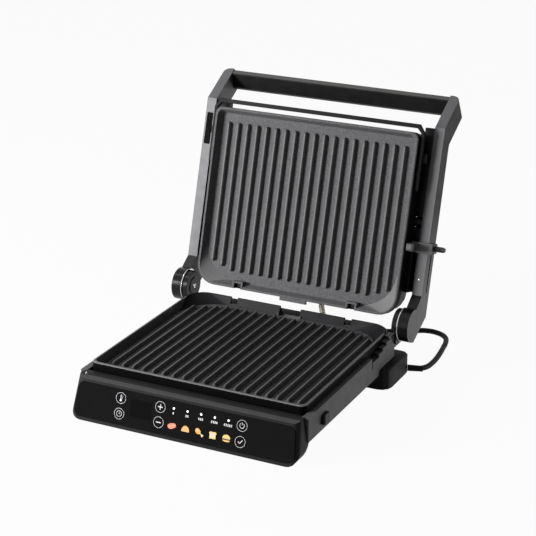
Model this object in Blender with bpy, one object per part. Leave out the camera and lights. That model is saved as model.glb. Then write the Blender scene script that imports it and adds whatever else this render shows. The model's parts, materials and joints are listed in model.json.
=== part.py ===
"""Countertop contact grill with a fold-back lid, modelled open.

The base carries a ribbed plate between two side walls, a sloped control panel
in front and two feet blocks behind.  Two lid arms turn on ears at the rear of
the side walls and meet at a handle bar.  A heated head with the upper plate
tilts between the arms.  A height slider rides on the right arm, and its foot
lands on the stepped rack of the right wall when the lid is closed.

Axes: +X to the user's right, +Y to the rear, +Z up, metres.  Lid pieces are
drawn closed in the frame of the hinge: a reach runs from the hinge towards the
handle and a height runs away from the food.
"""

import math

import bmesh
import bpy
from mathutils import Matrix, Vector

MM = 0.001
DEG = math.pi / 180

# Fits and fineness shared by all pieces
GAP = 0.3 * MM
OVERRUN = 3 * MM
EMBED = 1 * MM
CORNER_STEPS = 3
TURN_STEPS = 28
SHARP_ANGLE = 32 * DEG
PATH_SAMPLES = 24
GAP_SAMPLES = 4
SMALL_TURN_STEPS = 20
BLEND_DEPTH = 0.25 * MM

# Driving sizes: the width over the side walls, and the lower plate's ends and level
WALL_OUTER = 153 * MM
WALL_THICKNESS = 8 * MM
WALL_INNER = WALL_OUTER - WALL_THICKNESS
LOWER_FRONT = -22 * MM
LOWER_REAR = 243 * MM
LOWER_RIB_TOP = 55.3 * MM
HINGE_SETBACK = 3.3 * MM
HINGE_RISE = 10 * MM
HINGE_Y = LOWER_REAR + HINGE_SETBACK
HINGE_Z = LOWER_RIB_TOP + HINGE_RISE

# Grill plates
PLATE_HALF_WIDTH = WALL_INNER - GAP
RIB_COUNT = 19
RIB_SIDE_LAND = 18.7 * MM
RIB_PITCH = 2 * (PLATE_HALF_WIDTH - RIB_SIDE_LAND) / (RIB_COUNT - 1)
RIB_HEIGHT = 5 * MM
RIB_TOP_WIDTH = 3 * MM
RIB_ROOT_WIDTH = 7.4 * MM
RIB_NOSE = 4.5 * MM
RIB_NOSE_SHARES = ((0, 0.3), (0.22, 0.72), (0.6, 0.94), (1, 1))
RIB_SHOULDER_SHARE = 0.78
PLATE_FRONT_RADIUS = 9 * MM
PLATE_REAR_RADIUS = 26 * MM
RAMP_RADIUS = 48 * MM
RIM_TOP = 3 * MM
RIM_ROOT = 7.5 * MM
RIM_EDGE = 1 * MM
PLATE_SKIRT_DROP = 6.3 * MM
PLATE_BACK_DROP = 9.3 * MM
PLATE_BACK_INSET = 7.8 * MM
CATCH_X = 82.5 * MM
CATCH_HALF_WIDTH = 5 * MM
CATCH_DEPTH = 7.5 * MM
CATCH_WALL = 2.6 * MM
CATCH_TOP_STEP = 0.5 * MM

# Lower plate
LOWER_FRONT_LAND = 22 * MM
LOWER_REAR_LAND = 17 * MM
LOWER_RIB_START = LOWER_FRONT + LOWER_FRONT_LAND
LOWER_RIB_END = LOWER_REAR - LOWER_REAR_LAND
LOWER_RIM_RISE = 6.2 * MM
LOWER_TRIMS = (4 * MM, 9 * MM, 16 * MM)
SPOUT_HALF_WIDTH = 17 * MM
SPOUT_WALL = 2 * MM
SPOUT_LENGTH = 12 * MM
SPOUT_FALL = 3 * MM
SPOUT_FLOOR = 2.6 * MM
SPOUT_SIDE = 4.5 * MM
LOWER_NOTCH_FLOOR = 2.5 * MM

# Upper plate, in the frame of the hinge
UPPER_REAR_INSET = 3 * MM
UPPER_FRONT_INSET = 24.7 * MM
UPPER_NEAR = HINGE_SETBACK + UPPER_REAR_INSET
UPPER_FAR = HINGE_Y - LOWER_FRONT - UPPER_FRONT_INSET
UPPER_REAR_LAND = 20.7 * MM
UPPER_FRONT_LAND = 18.6 * MM
UPPER_RIB_NEAR = UPPER_NEAR + UPPER_REAR_LAND
UPPER_RIB_FAR = UPPER_FAR - UPPER_FRONT_LAND
UPPER_RIB_TOP = 2.4 * MM
UPPER_RIM_RISE = 4.5 * MM
UPPER_TRIMS = (0 * MM, 5 * MM, 10 * MM)
TAB_HALF_WIDTH = 19 * MM
TAB_LENGTH = 4.4 * MM
TAB_THICKNESS = 4 * MM

# Side frame
WALL_SKIN = 2.5 * MM
WALL_NOSE = 8 * MM
WALL_SETBACK = 16 * MM
WALL_FRONT = LOWER_FRONT - WALL_NOSE
WALL_REAR = LOWER_REAR - WALL_SETBACK
WALL_BOTTOM = 21 * MM
WALL_DROP = 2.6 * MM
WALL_TOP = LOWER_RIB_TOP - WALL_DROP
LEDGE_REACH = 5.5 * MM
LEDGE_THICKNESS = 2.2 * MM
OVERHANG_DEPTH = 13.1 * MM
OVERHANG_LENGTH = 10 * MM
OVERHANG_BOTTOM = WALL_TOP - OVERHANG_DEPTH
OVERHANG_REAR = LOWER_REAR + OVERHANG_LENGTH

# Stepped rack in the right wall
STEP_COUNT = 5
STEP_REACH = 91.3 * MM
STEP_ENTRY = 10 * MM
STEP_FRONT = HINGE_Y - STEP_REACH
STEP_FIRST = STEP_FRONT + STEP_ENTRY
STEP_RUN = 11.8 * MM
STEP_RISE = 3.5 * MM
STEP_CUT = 6.4 * MM
STEP_LOW = WALL_TOP - STEP_CUT
STEP_LAST_RUN = 14 * MM
SLIT_WIDTH = 2.2 * MM
SLIT_DEPTH = 8.3 * MM
SLIT_BOTTOM = STEP_LOW - SLIT_DEPTH

# Lower housing with its feet blocks
PAN_WALL = 3 * MM
PAN_TOP = 26 * MM
PAN_BOTTOM = 9 * MM
PAN_CHINE = 22 * MM
PAN_CHINE_INSET = 17 * MM
PAN_FLOOR = 2.5 * MM
VENT_COUNT = 9
VENT_WIDTH = 4 * MM
VENT_PITCH = 14 * MM
VENT_FRONT = 20 * MM
VENT_REAR = 60 * MM
BLOCK_STAND = 12 * MM
BLOCK_WIDTH = 45 * MM
BLOCK_OVERHANG = 7 * MM
BLOCK_LENGTH = 72 * MM
BLOCK_OUTER = WALL_OUTER + BLOCK_STAND
BLOCK_INNER = BLOCK_OUTER - BLOCK_WIDTH
BLOCK_REAR = LOWER_REAR + BLOCK_OVERHANG
BLOCK_FRONT = BLOCK_REAR - BLOCK_LENGTH
BLOCK_TOP = 28 * MM
BLOCK_FRONT_RADIUS = 15 * MM
BLOCK_REAR_RADIUS = 8 * MM
BLOCK_EDGE = 2.5 * MM
STANDING = 1 * MM
FOOT_RADIUS = 7 * MM
FOOT_DEPTH = 2 * MM
FOOT_REAR_INSET = 20 * MM

# Front fascia and its glass panel
FASCIA_STAND = 0.5 * MM
FASCIA_TAPER = 4.8 * MM
FASCIA_BOTTOM_HALF = WALL_OUTER + FASCIA_STAND
FASCIA_TOP_HALF = FASCIA_BOTTOM_HALF - FASCIA_TAPER
FASCIA_DEPTH = 38.4 * MM
FASCIA_RAKE = 15.1 * MM
BROW_DEPTH = 5.7 * MM
BROW_DROP = 2.7 * MM
DECK_DROP = 0.2 * MM
DECK_LENGTH = 12.6 * MM
DECK_REAR_DROP = 3 * MM
FASCIA_FOOT_Y = LOWER_FRONT - FASCIA_DEPTH
FASCIA_BROW_Y = FASCIA_FOOT_Y + FASCIA_RAKE
DECK_Y = FASCIA_BROW_Y + BROW_DEPTH
DECK_Z = WALL_TOP - DECK_DROP
DECK_SLOPE_Y = DECK_Y + DECK_LENGTH
FASCIA_BROW_Z = DECK_Z - BROW_DROP
FASCIA_SOLE = 17.4 * MM
HEEL_REACH = 12 * MM
HEEL_SETBACK = 2.4 * MM
HEEL_Y = FASCIA_FOOT_Y + FASCIA_SOLE
HEEL_MID_Y = HEEL_Y + HEEL_REACH
HEEL_MID_Z = 14 * MM
HEEL_TOP_Y = LOWER_FRONT - HEEL_SETBACK
FASCIA_CORNER = 8 * MM
FASCIA_LOW_CORNER = 14 * MM
FOOT_FRONT_INSET = 41.5 * MM
GLASS_MARGIN = 4.4 * MM
GLASS_TOP_MARGIN = 3.6 * MM
GLASS_RADIUS = 9 * MM
GLASS_THICKNESS = 1.9 * MM
GLASS_PROUD = 0.2 * MM
BOARD_SIDE_MARGIN = 35.5 * MM
BOARD_MARGIN = 11 * MM
BOARD_THICKNESS = 1.6 * MM
BOARD_POCKET = 6 * MM

# Release buttons of the lower plate
LOWER_BUTTON_SETBACK = 27 * MM
LOWER_BUTTON_LENGTH = 16 * MM
LOWER_BUTTON_DROP = 11.4 * MM
LOWER_BUTTON_HEIGHT = 13.3 * MM
LOWER_BUTTON_FRONT = LOWER_FRONT + LOWER_BUTTON_SETBACK
LOWER_BUTTON_REAR = LOWER_BUTTON_FRONT + LOWER_BUTTON_LENGTH
LOWER_BUTTON_TOP = WALL_TOP - LOWER_BUTTON_DROP
LOWER_BUTTON_BOTTOM = LOWER_BUTTON_TOP - LOWER_BUTTON_HEIGHT
LOWER_BUTTON_PROUD = 5 * MM
LOWER_BUTTON_STEM = 7 * MM
BUTTON_RADIUS = 3 * MM
BUTTON_EDGE = 1 * MM

# Heating under and over the plates
ELEMENT_RADIUS = 3.25 * MM
ELEMENT_SIDE_MARGIN = 44.7 * MM
ELEMENT_HALF_SPAN = PLATE_HALF_WIDTH - ELEMENT_SIDE_MARGIN
ELEMENT_END_X = 20 * MM
ELEMENT_MARGIN = 42 * MM
ELEMENT_REAR_MARGIN = 34 * MM
ELEMENT_BEND = 30 * MM
REFLECTOR_SHEET = 1.2 * MM
REFLECTOR_DEPTH = 9.5 * MM
REFLECTOR_FLANGE = 6.5 * MM
REFLECTOR_CLEARANCE = 4 * MM
REFLECTOR_RADIUS = 12 * MM
THERMOSTAT_RADIUS = 9 * MM
THERMOSTAT_HEIGHT = 6 * MM
THERMOSTAT_CAP_SHARE = 0.7

# Power board and terminal block in the housing
POWER_FRONT = 90 * MM
POWER_REAR = 160 * MM
POWER_HALF_WIDTH = 55 * MM
POWER_THICKNESS = 1.6 * MM
POWER_STANDOFF = 3 * MM
STANDOFF_RADIUS = 3 * MM
STANDOFF_INSET = 6 * MM
RELAY_LENGTH = 20 * MM
RELAY_WIDTH = 15 * MM
RELAY_HEIGHT = 9 * MM
RELAY_PITCH = 27 * MM
CAPACITOR_RADIUS = 7 * MM
CAPACITOR_HEIGHT = 9 * MM
TERMINAL_INSET = 35 * MM
TERMINAL_X = BLOCK_INNER - TERMINAL_INSET
TERMINAL_SETBACK = 2 * MM
TERMINAL_Y = BLOCK_FRONT + TERMINAL_SETBACK
TERMINAL_LENGTH = 30 * MM
TERMINAL_WIDTH = 16 * MM
TERMINAL_HEIGHT = 12 * MM
TERMINAL_WAYS = 3
TERMINAL_SLOT = 6 * MM

# Hinge
LID_ANGLE = -106 * DEG
EAR_STAND = 2 * MM
EAR_THICKNESS = 7 * MM
EAR_OUTER = WALL_OUTER + EAR_STAND
EAR_INNER = EAR_OUTER - EAR_THICKNESS
EAR_RADIUS = 20 * MM
EAR_DISC_RADIUS = 12 * MM
EAR_DISC_RISE = 1 * MM
RING_RADIUS = 21.9 * MM
RING_THICKNESS = 1.2 * MM
DRUM_RADIUS = 21.5 * MM
PIN_RADIUS = 6 * MM
PIN_REACH = 9 * MM

# Lid arms, in the frame of the hinge
ARM_THICKNESS = 13.7 * MM
ARM_INNER = EAR_OUTER + GAP + RING_THICKNESS + GAP
ARM_OUTER = ARM_INNER + ARM_THICKNESS
ARM_FACE_NEAR = 37.5 * MM
ARM_FACE_NEAR_H = 16.4 * MM
ELBOW_OVERREACH = 9.2 * MM
ELBOW_REACH = UPPER_FAR + ELBOW_OVERREACH
ELBOW_H = 19.8 * MM
ARM_BACK_H = 42.4 * MM
ARM_BACK_NEAR = 8.5 * MM
ARM_TAIL_REACH = -22 * MM
ARM_TAIL_H = 7.5 * MM
ARM_BACK_SETBACK = 20.3 * MM
ARM_BACK_ELBOW = ELBOW_REACH - ARM_BACK_SETBACK
KNUCKLE_REACH = 25.9 * MM
KNUCKLE_H = 6.8 * MM
KNUCKLE_TOP_REACH = 32.2 * MM
KNUCKLE_TOP_H = 12 * MM
HAND_LENGTH = 60 * MM
HAND_THICKNESS = 30.6 * MM
HAND_ANGLE = 45 * DEG
DRUM_START = -170 * DEG
DRUM_END = 8 * DEG
DRUM_STEPS = 14
EAR_TOP_START = -0.45

# Handle bar, along and across the bent ends of the arms
BAR_ROOT_SETBACK = 16.5 * MM
BAR_FRONT_SETBACK = 9 * MM
BAR_BACK_SETBACK = 14 * MM
BAR_ROOT = HAND_LENGTH - BAR_ROOT_SETBACK
BAR_FRONT = HAND_LENGTH - BAR_FRONT_SETBACK
BAR_BACK = HAND_LENGTH - BAR_BACK_SETBACK
BAR_BELLY_INSET = 11.6 * MM
BAR_BACK_INSET = 5.6 * MM
BAR_DEPTH_INSET = 3.6 * MM
BAR_BELLY = HAND_THICKNESS - BAR_BELLY_INSET
BAR_BACK_ACROSS = HAND_THICKNESS - BAR_BACK_INSET
BAR_DEPTH = HAND_THICKNESS - BAR_DEPTH_INSET
BAR_RADIUS = 2.5 * MM
BAR_SETBACK = 0.6 * MM

# Window on the left arm
WINDOW_LENGTH = 42 * MM
WINDOW_SETBACK = 19.8 * MM
WINDOW_FAR = ELBOW_REACH - WINDOW_SETBACK
WINDOW_NEAR = WINDOW_FAR - WINDOW_LENGTH
WINDOW_MARGIN = 2.6 * MM
WINDOW_DEPTH = 1.2 * MM
WINDOW_RADIUS = 2 * MM

# Head
PIVOT_SETBACK = 113.6 * MM
PIVOT_REACH = UPPER_FAR - PIVOT_SETBACK
PIVOT_H = 29 * MM
PIVOT_RADIUS = 6 * MM
PIVOT_DEPTH = 4 * MM
COVER_SIDE_INSET = 1.7 * MM
COVER_NEAR_INSET = 3.7 * MM
COVER_FAR_INSET = 1.6 * MM
COVER_HALF_WIDTH = PLATE_HALF_WIDTH - COVER_SIDE_INSET
COVER_NEAR = UPPER_NEAR + COVER_NEAR_INSET
COVER_FAR = UPPER_FAR - COVER_FAR_INSET
COVER_TOP = 50 * MM
COVER_SHELL = 2.6 * MM
COVER_REAR_RADIUS = 24 * MM
COVER_FRONT_RADIUS = 11 * MM
COVER_CROWN_SHARES = ((0, 0), (0.55, 0), (0.78, 0.12), (0.92, 0.42), (1, 1))
COVER_CROWN_INSET = 22 * MM
RAIL_SIDE_GAP = 0.5 * MM
RAIL_THICKNESS = 4.8 * MM
RAIL_FINGER_GAP = 5.4 * MM
RAIL_BAR_THICKNESS = 5.5 * MM
RAIL_LEG_LENGTH = 79 * MM
RAIL_INNER = PLATE_HALF_WIDTH + RAIL_SIDE_GAP
RAIL_OUTER = RAIL_INNER + RAIL_THICKNESS
RAIL_BAR_NEAR = UPPER_FAR + RAIL_FINGER_GAP
RAIL_BAR_FAR = RAIL_BAR_NEAR + RAIL_BAR_THICKNESS
RAIL_NEAR = RAIL_BAR_NEAR - RAIL_LEG_LENGTH
RAIL_CHAMFER = 8 * MM
RAIL_LOW = 3 * MM
RAIL_HIGH = 8.4 * MM
UPPER_BUTTON_SETBACK = 25.6 * MM
UPPER_BUTTON_LENGTH = 13 * MM
UPPER_BUTTON_FAR = UPPER_FAR - UPPER_BUTTON_SETBACK
UPPER_BUTTON_NEAR = UPPER_BUTTON_FAR - UPPER_BUTTON_LENGTH
UPPER_BUTTON_HEIGHT = 6.8 * MM
UPPER_BUTTON_PROUD = 4.5 * MM
BUTTON_TRAVEL = 3 * MM

# Height slider on the right arm
SLIDER_SETBACK = 31 * MM
SLIDER_REACH = PIVOT_REACH - SLIDER_SETBACK
STRAP_HALF_LENGTH = 7 * MM
STRAP_THICKNESS = 2.6 * MM
SLIDER_TRAVEL = 45 * MM
STRAP_OVER_RACK = 3.4 * MM
STRAP_INNER = WALL_INNER + STRAP_OVER_RACK
SLIDER_FOOT_HALF = 5 * MM
SLIDER_FOOT_CLEARANCE = 1 * MM
SLIDER_FOOT_OUTER = ARM_INNER - SLIDER_FOOT_CLEARANCE
SLIDER_FOOT_LOW = -7 * MM
SLIDER_FOOT_TOE = 2.5 * MM
SLOT_H = 31 * MM
HOUSING_THICKNESS = 5 * MM
HOUSING_RISE = 5 * MM
HOUSING_TOP = SLOT_H + HOUSING_RISE
HOUSING_RADIUS = 3 * MM
TONGUE_DEPTH = 3 * MM
TONGUE_HALF_LENGTH = 4 * MM
SLOT_OVERRUN = 6 * MM
SLOT_NEAR_OVERRUN = 14.3 * MM
SLOT_FAR = SLIDER_REACH + SLOT_OVERRUN
SLOT_NEAR = SLIDER_REACH - SLIDER_TRAVEL - SLOT_NEAR_OVERRUN
SLOT_HALF_WIDTH = 1.6 * MM
SLOT_DEPTH = 4 * MM
KNOB_RADIUS = 3.6 * MM
KNOB_DROP = 2 * MM
KNOB_H = SLOT_H - KNOB_DROP
KNOB_LENGTH = 13.7 * MM
KNOB_NOSE_SHARES = ((0, 1), (0.4, 0.92), (0.8, 0.66), (1, 0.25))

# Drip cup behind the housing
CUP_HALF_WIDTH = 27 * MM
CUP_CLEARANCE = 2.5 * MM
CUP_LENGTH = 32.5 * MM
CUP_FRONT = WALL_REAR + CUP_CLEARANCE
CUP_REAR = CUP_FRONT + CUP_LENGTH
CUP_TOP = 40 * MM
CUP_HEIGHT = 17.5 * MM
CUP_BOTTOM = CUP_TOP - CUP_HEIGHT
CUP_WALL = 1.6 * MM
CUP_RADIUS = 5 * MM
CUP_LIP = 5 * MM
CUP_LIP_THICKNESS = 1.8 * MM
CUP_DRAFT = 2 * MM
RAIL_BRACKET = 4 * MM
RAIL_BRACKET_HEIGHT = 5 * MM
RAIL_BRACKET_LENGTH = 28 * MM

# Armoured lead between head and base, chosen points in the open pose
CONDUIT_RADIUS = 4 * MM
CONDUIT_X = 31 * MM
CONDUIT_H = 24 * MM
CONDUIT_BASE_X = 55 * MM
CONDUIT_BASE_Z = 36 * MM
CONDUIT_STRAIGHT = 5 * MM
CONDUIT_PULL = 14 * MM
CONDUIT_STEPS = 12

# Mains cord, its coil and its plug
CORD_RADIUS = 3.5 * MM
CORD_REST = 3.7 * MM
CORD_EXIT_Z = 7 * MM
CORD_EXIT_ANGLE = 20 * DEG
CORD_STRAIGHT = 7 * MM
CORD_STEP = 15 * MM
GLAND_RADIUS = 5 * MM
GLAND_DEPTH = 6 * MM
GLAND_STEPS = 16
ROUTE = (
    (178.6 * MM, 254.4 * MM, 5.2 * MM),
    (183.6 * MM, 265.0 * MM, 4.0 * MM),
    (185.2 * MM, 279.0 * MM, CORD_REST),
    (184.9 * MM, 297.0 * MM, CORD_REST),
    (183.0 * MM, 315.0 * MM, CORD_REST),
    (180.3 * MM, 333.0 * MM, CORD_REST),
    (177.2 * MM, 350.3 * MM, CORD_REST),
    (170.2 * MM, 366.0 * MM, CORD_REST),
    (156.0 * MM, 375.6 * MM, CORD_REST),
    (139.0 * MM, 376.2 * MM, CORD_REST),
    (126.0 * MM, 369.8 * MM, CORD_REST),
    (112.5 * MM, 360.6 * MM, CORD_REST),
    (97.5 * MM, 352.4 * MM, CORD_REST),
    (79.5 * MM, 346.6 * MM, CORD_REST),
    (60.0 * MM, 343.4 * MM, CORD_REST),
    (38.0 * MM, 341.9 * MM, CORD_REST),
)
COIL_X = -8 * MM
COIL_BEHIND = 53 * MM
COIL_Y = BLOCK_REAR + COIL_BEHIND
COIL_OUTER = 38.5 * MM
COIL_PITCH = 7.6 * MM
COIL_LAYER = 7.6 * MM
COIL_TURNS = 3.5
COIL_LOOP_POINTS = 24
COIL_CLIMB_TURNS = 0.5
PLUG_BEHIND = 27 * MM
PLUG_Y = BLOCK_REAR + PLUG_BEHIND
PLUG_RELIEF_X = 43 * MM
PLUG_RELIEF_LENGTH = 20 * MM
PLUG_RELIEF_RADIUS = 5.2 * MM
PLUG_RELIEF_ROOT = 8 * MM
PLUG_RADIUS = 18 * MM
PLUG_LENGTH = 33 * MM
PLUG_SHAPE_SHARES = ((0, 0.5), (0.12, 0.74), (0.3, 0.84), (0.55, 0.86), (0.74, 0.98), (0.8, 1), (1, 1))
PIN_SPACING = 19 * MM
PLUG_PIN_RADIUS = 2.4 * MM
PLUG_PIN_LENGTH = 19 * MM
PLUG_PIN_TIP = 1.2 * MM
PLUG_PIN_SIDES = 12


# Derived levels and places
SKIN_INNER = WALL_OUTER - WALL_SKIN
LOWER_VALLEY = LOWER_RIB_TOP - RIB_HEIGHT
LOWER_BACK = LOWER_RIB_TOP - PLATE_BACK_DROP
UPPER_BACK = UPPER_RIB_TOP + PLATE_BACK_DROP
UPPER_SKIRT = UPPER_RIB_TOP + PLATE_SKIRT_DROP
LEDGE_TOP = LOWER_BACK - GAP - REFLECTOR_SHEET - GAP
EAR_SEAT = HINGE_Z - EAR_RADIUS - GAP
STEP_REAR = STEP_FIRST + (STEP_COUNT - 1) * STEP_RUN + STEP_LAST_RUN
PAN_OUTER = SKIN_INNER - GAP
PAN_FRONT = LOWER_FRONT
PAN_REAR = WALL_REAR - WALL_SKIN - GAP
FASCIA_REAR = LOWER_FRONT - GAP
FASCIA_FOOT_X = FASCIA_BOTTOM_HALF - FOOT_FRONT_INSET
UPPER_BUTTON_LOW = UPPER_SKIRT + GAP
UPPER_BUTTON_HIGH = UPPER_BUTTON_LOW + UPPER_BUTTON_HEIGHT
UPPER_BUTTON_INNER = PLATE_HALF_WIDTH - PLATE_BACK_INSET + BUTTON_TRAVEL + GAP
BLOCK_CORNER = Vector((BLOCK_OUTER - BLOCK_REAR_RADIUS, BLOCK_REAR - BLOCK_REAR_RADIUS, CORD_EXIT_Z))
EXIT_DIRECTION = Vector((math.cos(CORD_EXIT_ANGLE), math.sin(CORD_EXIT_ANGLE), 0))


# Modelling helpers


def clear_scene():
    """Start from an empty scene."""
    for obj in list(bpy.data.objects):
        bpy.data.objects.remove(obj, do_unlink=True)


def finish(name, colour, roughness, metallic=0.0):
    """Return a Principled material of one colour."""
    made = bpy.data.materials.new(name)
    made.use_nodes = True
    shader = made.node_tree.nodes["Principled BSDF"]
    shader.inputs["Base Color"].default_value = (*colour, 1)
    shader.inputs["Roughness"].default_value = roughness
    shader.inputs["Metallic"].default_value = metallic
    made.diffuse_color = (*colour, 1)
    return made


def empty(name, location, parent=None, turn=0.0):
    """Add an empty that carries other pieces, turned about X."""
    made = bpy.data.objects.new(name, None)
    bpy.context.scene.collection.objects.link(made)
    made.parent = parent
    made.location = location
    made.rotation_euler.x = turn
    return made


def place(name, shape, look, parent, origin=(0, 0, 0)):
    """Make an object of a shape, with its origin at a place in the parent's frame."""
    bmesh.ops.translate(shape, verts=shape.verts, vec=-Vector(origin))
    mesh = bpy.data.meshes.new(name)
    shape.to_mesh(mesh)
    shape.free()
    mesh.shade_smooth()
    mesh.set_sharp_from_angle(angle=SHARP_ANGLE)
    mesh.materials.append(look)
    made = bpy.data.objects.new(name, mesh)
    bpy.context.scene.collection.objects.link(made)
    made.parent = parent
    made.location = origin
    return made


def loft(rings):
    """Return a closed solid through rings of equal counts of points."""
    shape = bmesh.new()
    loops = [[shape.verts.new(point) for point in ring] for ring in rings]
    for low, high in zip(loops, loops[1:]):
        for i in range(len(low)):
            j = (i + 1) % len(low)
            shape.faces.new((low[i], low[j], high[j], high[i]))
    shape.faces.new(list(reversed(loops[0])))
    shape.faces.new(loops[-1])
    bmesh.ops.recalc_face_normals(shape, faces=shape.faces)
    return shape


def on_axis(axis, point, level):
    """Return a 3-D point from a flat point and a level along the named axis."""
    if axis == "x":
        return Vector((level, point[0], point[1]))
    if axis == "y":
        return Vector((point[0], level, point[1]))
    return Vector((point[0], point[1], level))


def prism(outline, low, high, axis="z"):
    """Extrude a flat outline between two levels of an axis."""
    return loft([[on_axis(axis, point, level) for point in outline] for level in (low, high)])


def block(x, y, z):
    """Return a box from three (low, high) spans."""
    return prism([(x[0], y[0]), (x[1], y[0]), (x[1], y[1]), (x[0], y[1])], z[0], z[1])


def both_sides(maker):
    """Return one shape holding what the maker gives for the right and the left side."""
    return joined([maker(side) for side in (1, -1)])


def side_block(side, x, y, z):
    """Return a box of the right side, or its mirror on the left."""
    near, far = sorted((side * x[0], side * x[1]))
    return block((near, far), y, z)


def joined(shapes):
    """Put separate solids into one shape."""
    whole = bmesh.new()
    for shape in shapes:
        mesh = bpy.data.meshes.new("part_of_group")
        shape.to_mesh(mesh)
        shape.free()
        whole.from_mesh(mesh)
        bpy.data.meshes.remove(mesh)
    return whole


def fillet(outline, radii, steps=CORNER_STEPS):
    """Round the corners of a flat outline; one radius, or one per corner."""
    if not isinstance(radii, (list, tuple)):
        radii = [radii] * len(outline)
    rounded = []
    for i, radius in enumerate(radii):
        corner = Vector(outline[i])
        before = (Vector(outline[i - 1]) - corner)
        after = (Vector(outline[(i + 1) % len(outline)]) - corner)
        half = before.angle(after) / 2
        if radius <= 0 or abs(half - math.pi / 2) < DEG:
            rounded.append(tuple(corner))
            continue
        reach = min(radius / math.tan(half), before.length / 2, after.length / 2)
        inner = reach * math.tan(half)
        middle = corner + (before.normalized() + after.normalized()).normalized() * (inner / math.sin(half))
        start = corner + before.normalized() * reach - middle
        sweep = math.pi - 2 * half
        turn = 1 if before.cross(after) < 0 else -1
        for k in range(steps + 1):
            rounded.append(tuple(middle + rotated(start, turn * sweep * k / steps)))
    return rounded


def rotated(vector, angle):
    """Return a flat vector turned by an angle."""
    c, s = math.cos(angle), math.sin(angle)
    return Vector((c * vector.x - s * vector.y, s * vector.x + c * vector.y))


def rectangle(half_width, front, rear, front_radius=0.0, rear_radius=0.0, steps=CORNER_STEPS):
    """Return a rounded rectangle about the middle plane."""
    corners = [(-half_width, front), (half_width, front), (half_width, rear), (-half_width, rear)]
    return fillet(corners, [front_radius, front_radius, rear_radius, rear_radius], steps)


def circle(centre, radius, steps=TURN_STEPS):
    """Return the points of a circle."""
    turns = [math.tau * k / steps for k in range(steps)]
    return [(centre[0] + radius * math.cos(a), centre[1] + radius * math.sin(a)) for a in turns]


def turned(profile, axis, centre, steps=TURN_STEPS):
    """Revolve a profile of (level, radius) pairs about an axis through a flat centre."""
    return loft([
        [on_axis(axis, p, level) for p in circle(centre, radius, steps)] for level, radius in profile
    ])


def combine(body, cuts=(), joins=(), later_cuts=()):
    """Return a shape with others joined to it and cut from it, in the order joins, cuts, later cuts."""
    host = place("combine_host", body, None, None)
    tools = []
    stages = [(joins, "UNION"), (cuts, "DIFFERENCE"), (later_cuts, "DIFFERENCE")]
    for shapes, operation in stages:
        for shape in shapes:
            tool = place("combine_tool", shape, None, None)
            step = host.modifiers.new("combine", "BOOLEAN")
            step.operation = operation
            step.solver = "EXACT"
            step.object = tool
            tools.append(tool)
    graph = bpy.context.evaluated_depsgraph_get()
    mesh = bpy.data.meshes.new_from_object(host.evaluated_get(graph))
    result = bmesh.new()
    result.from_mesh(mesh)
    bmesh.ops.remove_doubles(result, verts=result.verts, dist=MM / 1000)
    bpy.data.meshes.remove(mesh)
    for used in [host, *tools]:
        bpy.data.objects.remove(used, do_unlink=True)
    return result


def wire(name, points, radius, resolution, look, parent):
    """Make a round wire through points as a curve with filled ends."""
    curve = bpy.data.curves.new(name, "CURVE")
    curve.dimensions = "3D"
    curve.bevel_depth = radius
    curve.bevel_resolution = resolution
    curve.use_fill_caps = True
    spline = curve.splines.new("POLY")
    spline.points.add(len(points) - 1)
    for knot, point in zip(spline.points, points):
        knot.co = (*point, 1)
    spline.use_smooth = True
    curve.materials.append(look)
    made = bpy.data.objects.new(name, curve)
    bpy.context.scene.collection.objects.link(made)
    made.parent = parent
    return made


def smooth_path(knots, spacing):
    """Return points at an even spacing on a centripetal curve through the knots."""
    knots = [Vector(k) for k in knots]
    padded = [2 * knots[0] - knots[1], *knots, 2 * knots[-1] - knots[-2]]
    fine = []
    for i in range(1, len(padded) - 2):
        a, b, c, d = padded[i - 1 : i + 3]
        times = [0.0]
        for p, q in ((a, b), (b, c), (c, d)):
            times.append(times[-1] + math.sqrt((q - p).length))
        for k in range(PATH_SAMPLES):
            along = times[1] + (times[2] - times[1]) * k / PATH_SAMPLES
            fine.append(centripetal(a, b, c, d, times, along))
    fine.append(knots[-1])
    return evenly(fine, spacing)


def centripetal(a, b, c, d, times, t):
    """Return one point of the centripetal curve between b and c."""
    t0, t1, t2, t3 = times
    ab = a.lerp(b, (t - t0) / (t1 - t0))
    bc = b.lerp(c, (t - t1) / (t2 - t1))
    cd = c.lerp(d, (t - t2) / (t3 - t2))
    left = ab.lerp(bc, (t - t0) / (t2 - t0))
    right = bc.lerp(cd, (t - t1) / (t3 - t1))
    return left.lerp(right, (t - t1) / (t2 - t1))


def evenly(points, spacing):
    """Return points at an even spacing along a polyline, both ends kept."""
    lengths = [0.0]
    for p, q in zip(points, points[1:]):
        lengths.append(lengths[-1] + (q - p).length)
    count = max(2, round(lengths[-1] / spacing))
    result, i = [], 0
    for k in range(count + 1):
        target = lengths[-1] * k / count
        while i < len(points) - 2 and lengths[i + 1] < target:
            i += 1
        span = lengths[i + 1] - lengths[i]
        result.append(points[i].lerp(points[i + 1], (target - lengths[i]) / span))
    return result


# Grill plates


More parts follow.
